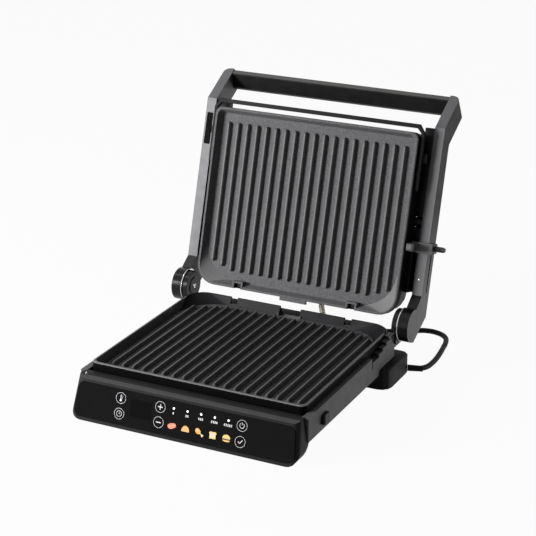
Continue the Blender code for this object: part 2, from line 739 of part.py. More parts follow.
def rib(x, start, end, valley):
    """Return one rib with rounded noses, its root sunk into the floor."""
    stations = [(start + share * RIB_NOSE, size) for share, size in RIB_NOSE_SHARES]
    stations += [(end - share * RIB_NOSE, size) for share, size in reversed(RIB_NOSE_SHARES)]
    rings = []
    for y, size in stations:
        shoulder = (RIB_TOP_WIDTH + (RIB_ROOT_WIDTH - RIB_TOP_WIDTH) * (1 - RIB_SHOULDER_SHARE)) * size
        top = valley + RIB_HEIGHT * size
        middle = valley + RIB_HEIGHT * RIB_SHOULDER_SHARE * size
        half = RIB_ROOT_WIDTH * size / 2
        crown = RIB_TOP_WIDTH * size / 4
        rings.append([
            (x - half, y, valley - EMBED),
            (x + half, y, valley - EMBED),
            (x + half, y, valley),
            (x + shoulder / 2, y, middle),
            (x + crown, y, top),
            (x - crown, y, top),
            (x - shoulder / 2, y, middle),
            (x - half, y, valley),
        ])
    return loft(rings)


def rib_field(start, end, valley, trims):
    """Return all ribs; the outermost ones end earlier, before the corner ramps."""
    shapes = []
    middle = (RIB_COUNT - 1) // 2
    for i in range(RIB_COUNT):
        place_out = abs(i - middle)
        trim = trims[place_out - middle + 2] if place_out > middle - 3 else 0
        shapes.append(rib((i - middle) * RIB_PITCH, start, end - trim, valley))
    return joined(shapes)


def plate_blank(front, rear, rib_top, rim_rise):
    """Return a plate with its rim and basin, food side up."""
    def outline(inset, front_radius, rear_radius):
        return rectangle(
            PLATE_HALF_WIDTH - inset, front + inset, rear - inset,
            max(front_radius - inset, RIM_EDGE), rear_radius, CORNER_STEPS + 3,
        )

    def ring(inset, level, front_radius=PLATE_FRONT_RADIUS, rear_radius=PLATE_REAR_RADIUS):
        return [(x, y, level) for x, y in outline(inset, front_radius, rear_radius)]

    rim = rib_top + rim_rise
    skirt = rib_top - PLATE_SKIRT_DROP
    valley = rib_top - RIB_HEIGHT
    body = loft([
        ring(PLATE_BACK_INSET, rib_top - PLATE_BACK_DROP),
        ring(PLATE_BACK_INSET, skirt),
        ring(0, skirt),
        ring(0, rim - RIM_EDGE),
        ring(RIM_EDGE, rim),
    ])
    slope = (RIM_ROOT - RIM_TOP) / (rim - valley)
    top_radius = PLATE_REAR_RADIUS - RIM_TOP
    basin = loft([
        ring(RIM_ROOT, valley, PLATE_FRONT_RADIUS + RIM_TOP, RAMP_RADIUS),
        ring(RIM_TOP, rim, PLATE_FRONT_RADIUS + RIM_TOP, top_radius),
        ring(RIM_TOP - slope * OVERRUN, rim + OVERRUN, PLATE_FRONT_RADIUS + RIM_TOP, top_radius),
    ])
    return body, basin


def catch_walls(rear, valley, rim):
    """Return the raised walls round the two catch pockets at the hinge edge."""
    half = CATCH_HALF_WIDTH + CATCH_WALL
    return both_sides(lambda side: side_block(
        side, (CATCH_X - half, CATCH_X + half),
        (rear - CATCH_DEPTH - CATCH_WALL, rear - RIM_EDGE), (valley - EMBED, rim - CATCH_TOP_STEP),
    ))


def catch_pockets(rear, low, rim):
    """Return the cutters of the two catch pockets."""
    return both_sides(lambda side: side_block(
        side, (CATCH_X - CATCH_HALF_WIDTH, CATCH_X + CATCH_HALF_WIDTH),
        (rear - CATCH_DEPTH, rear + OVERRUN), (low, rim + OVERRUN),
    ))


def lower_plate_shape():
    """Return the lower plate with its ribs, rear notches and drain spout."""
    rim = LOWER_RIB_TOP + LOWER_RIM_RISE
    body, basin = plate_blank(LOWER_FRONT, LOWER_REAR, LOWER_RIB_TOP, LOWER_RIM_RISE)
    ribs = rib_field(LOWER_RIB_START, LOWER_RIB_END, LOWER_VALLEY, LOWER_TRIMS)
    start = LOWER_REAR - RIM_ROOT - EMBED
    end = LOWER_REAR + SPOUT_LENGTH
    floor = LOWER_VALLEY - EMBED / 2

    def section(half, y, low, high):
        return [(-half, y, low), (half, y, low), (half, y, high), (-half, y, high)]

    chute = loft([
        section(SPOUT_HALF_WIDTH, start, floor - SPOUT_FLOOR, floor + SPOUT_SIDE),
        section(SPOUT_HALF_WIDTH, end, floor - SPOUT_FLOOR - SPOUT_FALL, floor + SPOUT_SIDE - SPOUT_FALL),
    ])
    channel = loft([
        section(SPOUT_HALF_WIDTH - SPOUT_WALL, start - OVERRUN, floor, rim + OVERRUN),
        section(SPOUT_HALF_WIDTH - SPOUT_WALL, start, floor, rim + OVERRUN),
        section(SPOUT_HALF_WIDTH - SPOUT_WALL, end + OVERRUN, floor - SPOUT_FALL, rim + OVERRUN),
    ])
    basined = combine(body, cuts=[basin])
    with_chute = combine(basined, joins=[chute, ribs], cuts=[channel])
    return combine(with_chute, cuts=[catch_pockets(LOWER_REAR, LOWER_VALLEY + LOWER_NOTCH_FLOOR, rim)])


def upper_plate_shape():
    """Return the upper plate, drawn food side up and then turned over."""
    rib_top = -UPPER_RIB_TOP
    valley = rib_top - RIB_HEIGHT
    rim = rib_top + UPPER_RIM_RISE
    body, basin = plate_blank(-UPPER_FAR, -UPPER_NEAR, rib_top, UPPER_RIM_RISE)
    ribs = rib_field(-UPPER_RIB_FAR, -UPPER_RIB_NEAR, valley, UPPER_TRIMS)
    tab = block(
        (-TAB_HALF_WIDTH, TAB_HALF_WIDTH), (-UPPER_NEAR - RIM_TOP, -UPPER_NEAR + TAB_LENGTH),
        (rim - TAB_THICKNESS, rim - CATCH_TOP_STEP),
    )
    basined = combine(body, cuts=[basin])
    walled = combine(basined, joins=[catch_walls(-UPPER_NEAR, valley, rim), ribs, tab])
    shape = combine(walled, cuts=[catch_pockets(-UPPER_NEAR, rib_top - PLATE_BACK_DROP - OVERRUN, rim)])
    bmesh.ops.rotate(shape, verts=shape.verts, cent=(0, 0, 0), matrix=Matrix.Rotation(math.pi, 3, "Y"))
    return shape


# Heating


def element_path(front, rear, level):
    """Return the loop of a heating tube, both ends at the middle of the rear."""
    near, far = rear - ELEMENT_REAR_MARGIN, front + ELEMENT_MARGIN
    corners = [
        (-ELEMENT_END_X, near), (-ELEMENT_HALF_SPAN, near), (-ELEMENT_HALF_SPAN, far),
        (ELEMENT_HALF_SPAN, far), (ELEMENT_HALF_SPAN, near), (ELEMENT_END_X, near),
    ]
    radii = [0, ELEMENT_BEND, ELEMENT_BEND, ELEMENT_BEND, ELEMENT_BEND, 0]
    return [(x, y, level) for x, y in fillet(corners, radii, CORNER_STEPS + 2)]


def reflector_shape(half_width, front, rear, flange, depth):
    """Return a pressed tray; a positive depth hangs below its flange, a negative one stands above."""
    way = -1 if depth > 0 else 1
    floor = flange + way * abs(depth)
    sheet = REFLECTOR_SHEET

    def ring(inset, level):
        return [(x, y, level) for x, y in rectangle(
            half_width - inset, front + inset, rear - inset, REFLECTOR_RADIUS, REFLECTOR_RADIUS)]

    inside = REFLECTOR_FLANGE
    outer = loft([
        ring(0, flange - way * sheet),
        ring(0, flange),
        ring(inside, flange),
        ring(inside + sheet, floor),
    ])
    hollow = loft([
        ring(inside + sheet, flange - way * (sheet + OVERRUN)),
        ring(inside + sheet, flange),
        ring(inside + 2 * sheet, floor - way * sheet),
    ])
    return combine(outer, cuts=[hollow])


def thermostat_shape(x, y, face, way):
    """Return a thermostat can that stands off a plate's back."""
    end = face + way * THERMOSTAT_HEIGHT
    brim = face + way * THERMOSTAT_HEIGHT / 3
    cap = THERMOSTAT_RADIUS * THERMOSTAT_CAP_SHARE
    profile = [(face, THERMOSTAT_RADIUS), (brim, THERMOSTAT_RADIUS), (brim, cap), (end, cap)]
    return turned(profile, "z", (x, y), SMALL_TURN_STEPS)


# Side frame


def step_levels():
    """Return the front, rear and top of each step, front to back."""
    steps = []
    for i in range(STEP_COUNT):
        front = STEP_FIRST + i * STEP_RUN
        rear = STEP_REAR if i == STEP_COUNT - 1 else front + STEP_RUN
        steps.append((front, rear, STEP_LOW + i * STEP_RISE))
    return steps


def wall_outline(stepped):
    """Return the side view of a wall; the right one is cut down to the steps."""
    outline = [
        (WALL_FRONT, WALL_BOTTOM), (WALL_REAR, WALL_BOTTOM), (WALL_REAR, OVERHANG_BOTTOM),
        (OVERHANG_REAR, OVERHANG_BOTTOM), (OVERHANG_REAR, EAR_SEAT), (STEP_REAR, EAR_SEAT),
    ]
    if not stepped:
        return outline + [(STEP_REAR, WALL_TOP), (WALL_FRONT, WALL_TOP)]
    for front, rear, top in reversed(step_levels()):
        outline += [(rear, top), (front, top)]
    outline[-1] = (STEP_FRONT, STEP_LOW)
    return outline + [(STEP_FRONT, WALL_TOP), (WALL_FRONT, WALL_TOP)]


def side_frame_shape():
    """Return the grey frame: two side walls, a rear wall and the ledge that carries the plate."""
    right = prism(wall_outline(True), WALL_INNER, WALL_OUTER, "x")
    left = prism(wall_outline(False), -WALL_OUTER, -WALL_INNER, "x")
    relief = both_sides(lambda side: side_block(
        side, (WALL_INNER - OVERRUN, SKIN_INNER), (WALL_FRONT - OVERRUN, WALL_REAR - WALL_SKIN),
        (WALL_BOTTOM - OVERRUN, LEDGE_TOP - LEDGE_THICKNESS),
    ))
    ledges = both_sides(lambda side: side_block(
        side, (WALL_INNER - LEDGE_REACH, WALL_INNER + EMBED), (FASCIA_REAR + GAP, WALL_REAR - EMBED),
        (LEDGE_TOP - LEDGE_THICKNESS - BLEND_DEPTH, LEDGE_TOP),
    ))
    shy = BLEND_DEPTH / 2
    rear_wall = block(
        (-SKIN_INNER - EMBED, SKIN_INNER + EMBED), (WALL_REAR - WALL_SKIN, WALL_REAR - shy),
        (WALL_BOTTOM + shy, LEDGE_TOP - shy),
    )
    pocket = block((WALL_INNER - OVERRUN, SKIN_INNER), (STEP_FRONT, STEP_REAR - GAP),
                   (LEDGE_TOP + EMBED, STEP_LOW + STEP_COUNT * STEP_RISE + OVERRUN))
    slit = block(
        (SKIN_INNER - OVERRUN, WALL_OUTER + OVERRUN), (STEP_FRONT + GAP, STEP_FRONT + GAP + SLIT_WIDTH),
        (SLIT_BOTTOM, STEP_LOW + OVERRUN),
    )
    openings = both_sides(lambda side: button_prism(side, SKIN_INNER - OVERRUN, WALL_OUTER + OVERRUN, GAP))
    walls = combine(joined([right, left]), cuts=[relief])
    return combine(walls, joins=[ledges, rear_wall], cuts=[pocket, slit, openings])


def step_rack_shape():
    """Return the dark rack that fills the pocket inside the stepped wall."""
    bottom = LEDGE_TOP + EMBED + GAP
    front = STEP_FRONT + GAP
    outline = [(front, bottom), (STEP_REAR - 2 * GAP, bottom)]
    for start, end, top in reversed(step_levels()):
        rear = min(end, STEP_REAR - 2 * GAP)
        outline += [(rear, top + GAP), (start + GAP, top + GAP)]
    outline += [(STEP_FIRST + GAP, STEP_LOW - GAP), (front, STEP_LOW - GAP)]
    return prism(outline, WALL_INNER, SKIN_INNER - GAP, "x")


def button_prism(side, near, far, grow=0.0):
    """Return the outline of a lower release button extruded across the wall."""
    front, rear = LOWER_BUTTON_FRONT - grow, LOWER_BUTTON_REAR + grow
    low, high = LOWER_BUTTON_BOTTOM - grow, LOWER_BUTTON_TOP + grow
    corners = [(front, low), (rear, low), (rear, high), (front, high)]
    return prism(fillet(corners, BUTTON_RADIUS + grow), *sorted((side * near, side * far)), "x")


def lower_button_shape(side):
    """Return a lower release button with an eased outer edge."""
    face = WALL_OUTER + LOWER_BUTTON_PROUD
    y = (LOWER_BUTTON_FRONT, LOWER_BUTTON_REAR)
    z = (LOWER_BUTTON_BOTTOM, LOWER_BUTTON_TOP)

    def ring(x, inset):
        corners = [(y[0] + inset, z[0] + inset), (y[1] - inset, z[0] + inset),
                   (y[1] - inset, z[1] - inset), (y[0] + inset, z[1] - inset)]
        return [(side * x, a, b) for a, b in fillet(corners, BUTTON_RADIUS)]

    root = WALL_OUTER - LOWER_BUTTON_STEM
    return loft([ring(root, 0), ring(face - BUTTON_EDGE, 0), ring(face, BUTTON_EDGE)])


# Lower housing


def pan_section(inset, floor_rise, top):
    """Return the front view of the housing pan at an inset from its outer skin."""
    half = PAN_OUTER - inset
    low = half - PAN_CHINE_INSET
    return [
        (-low, PAN_BOTTOM + floor_rise), (low, PAN_BOTTOM + floor_rise), (half, PAN_CHINE + floor_rise),
        (half, top), (-half, top), (-half, PAN_CHINE + floor_rise),
    ]


def feet_block(side):
    """Return one rear block with rounded corners and an eased top edge."""
    def ring(inset, level):
        corners = [
            (BLOCK_INNER + inset, BLOCK_FRONT + inset), (BLOCK_OUTER - inset, BLOCK_FRONT + inset),
            (BLOCK_OUTER - inset, BLOCK_REAR - inset), (BLOCK_INNER + inset, BLOCK_REAR - inset),
        ]
        radii = [BLOCK_REAR_RADIUS, BLOCK_FRONT_RADIUS, BLOCK_REAR_RADIUS, BLOCK_REAR_RADIUS]
        return [(side * x, y, level) for x, y in fillet(corners, radii)]

    return loft([
        ring(0, STANDING), ring(0, BLOCK_TOP - BLOCK_EDGE),
        ring(BLOCK_EDGE / 2, BLOCK_TOP - BLOCK_EDGE / 4), ring(BLOCK_EDGE, BLOCK_TOP),
    ])


def foot_places():
    """Return the centres of the four rubber feet by name."""
    front = (FASCIA_FOOT_Y + HEEL_Y) / 2
    rear = BLOCK_REAR - FOOT_REAR_INSET
    across = (BLOCK_INNER + BLOCK_OUTER) / 2
    return {
        "front_right": (FASCIA_FOOT_X, front), "front_left": (-FASCIA_FOOT_X, front),
        "rear_right": (across, rear), "rear_left": (-across, rear),
    }


def foot_sockets(places):
    """Return the recess cutters of feet at the given places."""
    radius = FOOT_RADIUS + GAP
    profile = [(STANDING - OVERRUN, radius), (STANDING + FOOT_DEPTH + GAP, radius)]
    return joined([turned(profile, "z", centre, SMALL_TURN_STEPS) for centre in places])


def gland_cylinder(radius, inner, outer):
    """Return a round bar along the cord's way out of the right block."""
    side = EXIT_DIRECTION.cross(Vector((0, 0, 1)))
    rings = []
    for along in (inner, outer):
        centre = BLOCK_CORNER + EXIT_DIRECTION * along
        outline = circle((0, 0), radius, GLAND_STEPS)
        rings.append([centre + side * a + Vector((0, 0, b)) for a, b in outline])
    return loft(rings)


def housing_shape():
    """Return the lower housing: a vented pan with the two rear blocks."""
    pan = prism(pan_section(0, 0, PAN_TOP), PAN_FRONT, PAN_REAR, "y")
    inside = pan_section(PAN_WALL, PAN_FLOOR, PAN_TOP + OVERRUN)
    hollow = prism(inside, PAN_FRONT + PAN_WALL, PAN_REAR - PAN_WALL, "y")
    inside_frame = block(
        (-WALL_OUTER - GAP, WALL_OUTER + GAP), (BLOCK_FRONT - OVERRUN, WALL_REAR + GAP),
        (WALL_BOTTOM - GAP, BLOCK_TOP + OVERRUN),
    )
    blocks = combine(both_sides(feet_block), cuts=[inside_frame])
    vents = joined([block(
        (x - VENT_WIDTH / 2, x + VENT_WIDTH / 2), (VENT_FRONT, VENT_REAR),
        (PAN_BOTTOM - OVERRUN, PAN_BOTTOM + PAN_FLOOR + OVERRUN),
    ) for x in ((i - (VENT_COUNT - 1) / 2) * VENT_PITCH for i in range(VENT_COUNT))])
    rear_feet = [centre for name, centre in foot_places().items() if name.startswith("rear")]
    deep = BLOCK_REAR_RADIUS - GLAND_DEPTH - GAP
    exit_bore = gland_cylinder(GLAND_RADIUS + GAP, deep, BLOCK_REAR_RADIUS + OVERRUN)
    return combine(pan, joins=[blocks], cuts=[hollow, vents, foot_sockets(rear_feet), exit_bore])


def foot_shape(centre):
    """Return a rubber foot."""
    return turned([(0, FOOT_RADIUS), (STANDING + FOOT_DEPTH, FOOT_RADIUS)], "z", centre, SMALL_TURN_STEPS)


def power_board_shape():
    """Return the relay board on its standoffs."""
    floor = PAN_BOTTOM + PAN_FLOOR + GAP
    deck = floor + POWER_STANDOFF
    width = (-POWER_HALF_WIDTH, POWER_HALF_WIDTH)
    board = block(width, (POWER_FRONT, POWER_REAR), (deck, deck + POWER_THICKNESS))
    leg = [(floor, STANDOFF_RADIUS), (deck + EMBED, STANDOFF_RADIUS)]
    across = POWER_HALF_WIDTH - STANDOFF_INSET
    rows = (POWER_FRONT + STANDOFF_INSET, POWER_REAR - STANDOFF_INSET)
    legs = joined([turned(leg, "z", (x, y), TURN_STEPS // 2) for x in (across, -across) for y in rows])
    low = deck + POWER_THICKNESS - EMBED
    rear = POWER_REAR - STANDOFF_INSET
    relays = joined([block(
        (x - RELAY_WIDTH / 2, x + RELAY_WIDTH / 2), (rear - RELAY_LENGTH, rear), (low, low + RELAY_HEIGHT),
    ) for x in (-RELAY_PITCH, 0, RELAY_PITCH)])
    round_can = [(low, CAPACITOR_RADIUS), (low + CAPACITOR_HEIGHT, CAPACITOR_RADIUS)]
    can = turned(round_can, "z", (0, POWER_FRONT + 2 * CAPACITOR_RADIUS), SMALL_TURN_STEPS)
    return combine(board, joins=[legs, relays, can])


def terminal_shape():
    """Return the mains terminal block with its wire slots."""
    floor = PAN_BOTTOM + PAN_FLOOR + GAP
    body = block((TERMINAL_X - TERMINAL_LENGTH / 2, TERMINAL_X + TERMINAL_LENGTH / 2),
                 (TERMINAL_Y, TERMINAL_Y + TERMINAL_WIDTH), (floor, floor + TERMINAL_HEIGHT))
    pitch = TERMINAL_LENGTH / TERMINAL_WAYS
    slots = joined([block(
        (x - TERMINAL_SLOT / 2, x + TERMINAL_SLOT / 2), (TERMINAL_Y - OVERRUN, TERMINAL_Y + TERMINAL_SLOT),
        (floor + TERMINAL_HEIGHT / 2, floor + TERMINAL_HEIGHT + OVERRUN),
    ) for x in (TERMINAL_X + (i - (TERMINAL_WAYS - 1) / 2) * pitch for i in range(TERMINAL_WAYS))])
    return combine(body, cuts=[slots])


# Front fascia


def fascia_profile():
    """Return the side view of the fascia."""
    heel = (HEEL_Y + HEEL_MID_Y) / 2
    return [
        (FASCIA_FOOT_Y, STANDING), (HEEL_Y, STANDING), (heel, HEEL_MID_Z / 2), (HEEL_MID_Y, HEEL_MID_Z),
        (HEEL_TOP_Y, WALL_BOTTOM - GAP), (FASCIA_REAR, WALL_BOTTOM - GAP),
        (FASCIA_REAR, DECK_Z - DECK_REAR_DROP), (DECK_SLOPE_Y, DECK_Z), (DECK_Y, DECK_Z),
        (FASCIA_BROW_Y, FASCIA_BROW_Z),
    ]


def fascia_frame():
    """Return the direction up the glass face and the direction out of it."""
    up = Vector((0, FASCIA_BROW_Y - FASCIA_FOOT_Y, FASCIA_BROW_Z - STANDING))
    length = up.length
    up.normalize()
    return up, Vector((1, 0, 0)).cross(up), length


def face_solid(margin_side, margin_low, margin_high, radius, depth, proud):
    """Return a plate that lies in the sloped face, between a depth and a proud height."""
    up, out, length = fascia_frame()
    low, high = margin_low, length - margin_high
    taper = (FASCIA_BOTTOM_HALF - FASCIA_TOP_HALF) / length
    wide = FASCIA_BOTTOM_HALF - margin_side - taper * low
    narrow = FASCIA_BOTTOM_HALF - margin_side - taper * high
    outline = fillet([(-wide, low), (wide, low), (narrow, high), (-narrow, high)], radius, CORNER_STEPS + 1)
    foot = Vector((0, FASCIA_FOOT_Y, STANDING))
    return loft([
        [foot + Vector((x, 0, 0)) + up * rise + out * level for x, rise in outline]
        for level in (depth, proud)
    ])


def fascia_shape():
    """Return the fascia: a profile across, rounded by its front and plan outlines."""
    height = DECK_Z - STANDING
    bar = prism(fascia_profile(), -FASCIA_BOTTOM_HALF - OVERRUN, FASCIA_BOTTOM_HALF + OVERRUN, "x")
    taper = (FASCIA_BOTTOM_HALF - FASCIA_TOP_HALF) / (FASCIA_BROW_Z - STANDING)
    top_half = FASCIA_BOTTOM_HALF - taper * height
    front_view = fillet(
        [(-FASCIA_BOTTOM_HALF, STANDING), (FASCIA_BOTTOM_HALF, STANDING), (top_half, DECK_Z + OVERRUN),
         (-top_half, DECK_Z + OVERRUN)],
        [FASCIA_LOW_CORNER, FASCIA_LOW_CORNER, 0, 0], CORNER_STEPS + 2)
    depth = prism(front_view, FASCIA_FOOT_Y - OVERRUN, FASCIA_REAR + OVERRUN, "y")
    lean = (FASCIA_BROW_Y - FASCIA_FOOT_Y) / (FASCIA_BROW_Z - STANDING)

    def plan(level):
        rise = level - STANDING
        half = FASCIA_BOTTOM_HALF - taper * rise
        front, rear = FASCIA_FOOT_Y + lean * rise, FASCIA_REAR + 2 * OVERRUN
        corners = rectangle(half, front, rear, FASCIA_CORNER, 0, CORNER_STEPS + 1)
        return [(x, y, level) for x, y in corners]

    column = loft([plan(STANDING - OVERRUN), plan(DECK_Z + 2 * OVERRUN)])
    beside_walls = both_sides(lambda side: side_block(
        side, (WALL_INNER - GAP, WALL_OUTER + 2 * OVERRUN), (WALL_FRONT - GAP, FASCIA_REAR + OVERRUN),
        (WALL_BOTTOM - GAP, DECK_Z + 2 * OVERRUN),
    ))
    glass_seat = face_solid(GLASS_MARGIN - GAP, GLASS_MARGIN - GAP, GLASS_TOP_MARGIN - GAP, GLASS_RADIUS,
                            -GLASS_THICKNESS, OVERRUN)
    margin = BOARD_MARGIN - GAP
    board_pocket = face_solid(BOARD_SIDE_MARGIN - GAP, margin, margin, 0, -BOARD_POCKET, 0)
    body = intersected(bar, [depth, column])
    front_feet = [centre for name, centre in foot_places().items() if name.startswith("front")]
    return combine(body, cuts=[beside_walls, glass_seat, board_pocket, foot_sockets(front_feet)])


def intersected(body, shapes):
    """Return what a shape has in common with all the others."""
    host = place("common_host", body, None, None)
    tools = []
    for shape in shapes:
        tool = place("common_tool", shape, None, None)
        step = host.modifiers.new("common", "BOOLEAN")
        step.operation = "INTERSECT"
        step.solver = "EXACT"
        step.object = tool
        tools.append(tool)
    mesh = bpy.data.meshes.new_from_object(host.evaluated_get(bpy.context.evaluated_depsgraph_get()))
    result = bmesh.new()
    result.from_mesh(mesh)
    bpy.data.meshes.remove(mesh)
    for used in [host, *tools]:
        bpy.data.objects.remove(used, do_unlink=True)
    return result


# Drip cup


def cup_shape():
    """Return the drip cup with its two riding lips."""
    def ring(inset, level):
        return [(x, y, level) for x, y in rectangle(
            CUP_HALF_WIDTH - inset, CUP_FRONT + inset, CUP_REAR - inset, CUP_RADIUS, CUP_RADIUS)]

    body = loft([ring(CUP_DRAFT, CUP_BOTTOM), ring(0, CUP_TOP)])
    lip = block((-CUP_HALF_WIDTH - CUP_LIP, CUP_HALF_WIDTH + CUP_LIP), (CUP_FRONT + EMBED, CUP_REAR - EMBED),
                (CUP_TOP - CUP_LIP_THICKNESS, CUP_TOP - BLEND_DEPTH))
    hollow = loft([
        ring(CUP_DRAFT + CUP_WALL, CUP_BOTTOM + CUP_WALL), ring(CUP_WALL, CUP_TOP),
        ring(CUP_WALL, CUP_TOP + OVERRUN),
    ])
    return combine(body, joins=[lip], cuts=[hollow])


def cup_rail(side):
    """Return one bracket that the cup's lip rides on, fixed to the rear wall."""
    inner = CUP_HALF_WIDTH + EMBED
    top = CUP_TOP - CUP_LIP_THICKNESS - GAP
    rear = WALL_REAR + GAP + RAIL_BRACKET_LENGTH
    deep, shallow = top - 2 * RAIL_BRACKET_HEIGHT, top - RAIL_BRACKET_HEIGHT / 2
    outline = [(WALL_REAR, deep), (rear, shallow), (rear, top), (WALL_REAR, top)]
    return prism(outline, *sorted((side * inner, side * (inner + RAIL_BRACKET))), "x")


# Hinge


def ear_shape(side):
    """Return a hinge ear: a plate with a round head and an inner disc."""
    turns = [EAR_TOP_START + (1 - EAR_TOP_START) * k / DRUM_STEPS for k in range(DRUM_STEPS + 1)]
    top = [(HINGE_Y + EAR_RADIUS * math.cos(math.pi * t), HINGE_Z + EAR_RADIUS * math.sin(math.pi * t))
           for t in turns]
    outline = [(HINGE_Y - EAR_RADIUS, HINGE_Z - EAR_RADIUS), (HINGE_Y, HINGE_Z - EAR_RADIUS), *top]
    plate = prism(outline, *sorted((side * EAR_INNER, side * EAR_OUTER)), "x")
    disc = turned([(side * (EAR_INNER - EAR_DISC_RISE), EAR_DISC_RADIUS - EAR_DISC_RISE),
                   (side * EAR_INNER, EAR_DISC_RADIUS), (side * (EAR_INNER + EMBED), EAR_DISC_RADIUS)],
                  "x", (HINGE_Y, HINGE_Z))
    return combine(plate, joins=[disc])


def hinge_pin(side):
    """Return the pin that stands out of an ear into the arm's drum."""
    near = EAR_OUTER + GAP
    profile = [(side * near, PIN_RADIUS), (side * (near + PIN_REACH), PIN_RADIUS)]
    return turned(profile, "x", (HINGE_Y, HINGE_Z), SMALL_TURN_STEPS)


def ring_shape(side):
    """Return the bright ring between an ear and its arm, in the hinge's frame."""
    low = EAR_OUTER + GAP
    body = turned([(side * low, RING_RADIUS), (side * (low + RING_THICKNESS), RING_RADIUS)], "x", (0, 0))
    bore = turned([(side * (low - OVERRUN), PIN_RADIUS + GAP), (side * (low + OVERRUN), PIN_RADIUS + GAP)],
                  "x", (0, 0), SMALL_TURN_STEPS)
    return combine(body, cuts=[bore])


# Arms and handle


def lid_point(reach, height):
    """Return the side-view point of a reach and a height in the hinge's frame."""
    return (-reach, height)


def face_height(reach):
    """Return the height of the arms' under face at a reach."""
    share = (reach - ARM_FACE_NEAR) / (ELBOW_REACH - ARM_FACE_NEAR)
    return ARM_FACE_NEAR_H + share * (ELBOW_H - ARM_FACE_NEAR_H)


def hand_point(along, across):
    """Return the side-view point along and across the bent end of an arm."""
    c, s = math.cos(HAND_ANGLE), math.sin(HAND_ANGLE)
    return lid_point(ELBOW_REACH + c * along - s * across, ELBOW_H + s * along + c * across)


def arm_outline():
    """Return the side view of an arm: drum, knuckle, straight, elbow and bent end."""
    drum = [lid_point(DRUM_RADIUS * math.cos(a), DRUM_RADIUS * math.sin(a))
            for a in (DRUM_START + (DRUM_END - DRUM_START) * k / DRUM_STEPS for k in range(DRUM_STEPS + 1))]
    return [
        *drum,
        lid_point(KNUCKLE_REACH, KNUCKLE_H),
        lid_point(KNUCKLE_TOP_REACH, KNUCKLE_TOP_H),
        lid_point(ARM_FACE_NEAR, ARM_FACE_NEAR_H),
        lid_point(ELBOW_REACH, ELBOW_H),
        hand_point(HAND_LENGTH, 0),
        hand_point(HAND_LENGTH, HAND_THICKNESS),
        lid_point(ARM_BACK_ELBOW, ARM_BACK_H),
        lid_point(ARM_BACK_NEAR, ARM_BACK_H),
        lid_point(ARM_TAIL_REACH, ARM_TAIL_H),
    ]


def arm_shape(side):
    """Return an arm with its pin bore, and the slider's slot or the window's seat."""
    body = prism(arm_outline(), *sorted((side * ARM_INNER, side * ARM_OUTER)), "x")
    reach = EAR_OUTER + GAP + PIN_REACH + GAP
    bore = turned([(side * (ARM_INNER - OVERRUN), PIN_RADIUS + GAP), (side * reach, PIN_RADIUS + GAP)],
                  "x", (0, 0), SMALL_TURN_STEPS)
    if side > 0:
        corners = [(-SLOT_FAR, SLOT_H - SLOT_HALF_WIDTH), (-SLOT_NEAR, SLOT_H - SLOT_HALF_WIDTH),
                   (-SLOT_NEAR, SLOT_H + SLOT_HALF_WIDTH), (-SLOT_FAR, SLOT_H + SLOT_HALF_WIDTH)]
        special = prism(fillet(corners, SLOT_HALF_WIDTH), ARM_OUTER - SLOT_DEPTH, ARM_OUTER + OVERRUN, "x")
    else:
        special = window_solid(GAP, OVERRUN)
    return combine(body, cuts=[bore, special])


def window_solid(grow, proud):
    """Return the window plate in the left arm's under face, or its seat when grown."""
    inner, outer = -ARM_INNER - WINDOW_MARGIN + grow, -ARM_OUTER + WINDOW_MARGIN - grow
    near, far = WINDOW_NEAR - grow, WINDOW_FAR + grow
    outline = fillet([(outer, -far), (inner, -far), (inner, -near), (outer, -near)], WINDOW_RADIUS)
    deep = [Vector((x, y, face_height(-y) + WINDOW_DEPTH + (GAP if grow else 0))) for x, y in outline]
    flush = [Vector((x, y, face_height(-y) - proud)) for x, y in outline]
    return loft([deep, flush])


def handle_shape():
    """Return the handle bar between the bent ends of the arms."""
    far = HAND_LENGTH - BAR_SETBACK
    corners = [
        hand_point(far, BAR_SETBACK), hand_point(far, BAR_DEPTH), hand_point(BAR_BACK, BAR_BACK_ACROSS),
        hand_point(BAR_ROOT, BAR_BELLY), hand_point(BAR_FRONT, BAR_SETBACK),
    ]
    half = ARM_INNER - GAP
    return prism(fillet(corners, BAR_RADIUS), -half, half, "x")


# Head


def cover_ring(inset, level):
    """Return a ring of the head cover in the hinge's frame."""
    front, rear = max(COVER_FRONT_RADIUS - inset, RIM_EDGE), max(COVER_REAR_RADIUS - inset, RIM_EDGE)
    far, near = -COVER_FAR + inset, -COVER_NEAR - inset
    outline = rectangle(COVER_HALF_WIDTH - inset, far, near, front, rear, CORNER_STEPS + 2)
    return [(x, y, level) for x, y in outline]


def cover_shape():
    """Return the head cover: a crowned shell, open towards the plate, with its pivot bores."""
    low = UPPER_SKIRT + GAP
    height = COVER_TOP - low
    outer = loft([
        cover_ring(inset * COVER_CROWN_INSET, low + rise * height) for rise, inset in COVER_CROWN_SHARES
    ])
    inner = [cover_ring(COVER_SHELL, low - OVERRUN)]
    inner += [cover_ring(inset * COVER_CROWN_INSET + COVER_SHELL, low + rise * (height - COVER_SHELL))
              for rise, inset in COVER_CROWN_SHARES[1:]]
    within, beyond = COVER_HALF_WIDTH - COVER_SHELL - OVERRUN, COVER_HALF_WIDTH + OVERRUN
    bore, pivot = PIVOT_RADIUS + GAP, lid_point(PIVOT_REACH, PIVOT_H)
    bores = both_sides(lambda side: turned(
        [(side * within, bore), (side * beyond, bore)], "x", pivot, SMALL_TURN_STEPS,
    ))
    windows = both_sides(lambda side: side_block(
        side, (within, beyond), (-UPPER_BUTTON_FAR - GAP, -UPPER_BUTTON_NEAR + GAP),
        (low - OVERRUN, UPPER_BUTTON_HIGH + GAP),
    ))
    return combine(outer, cuts=[loft(inner), bores, windows])


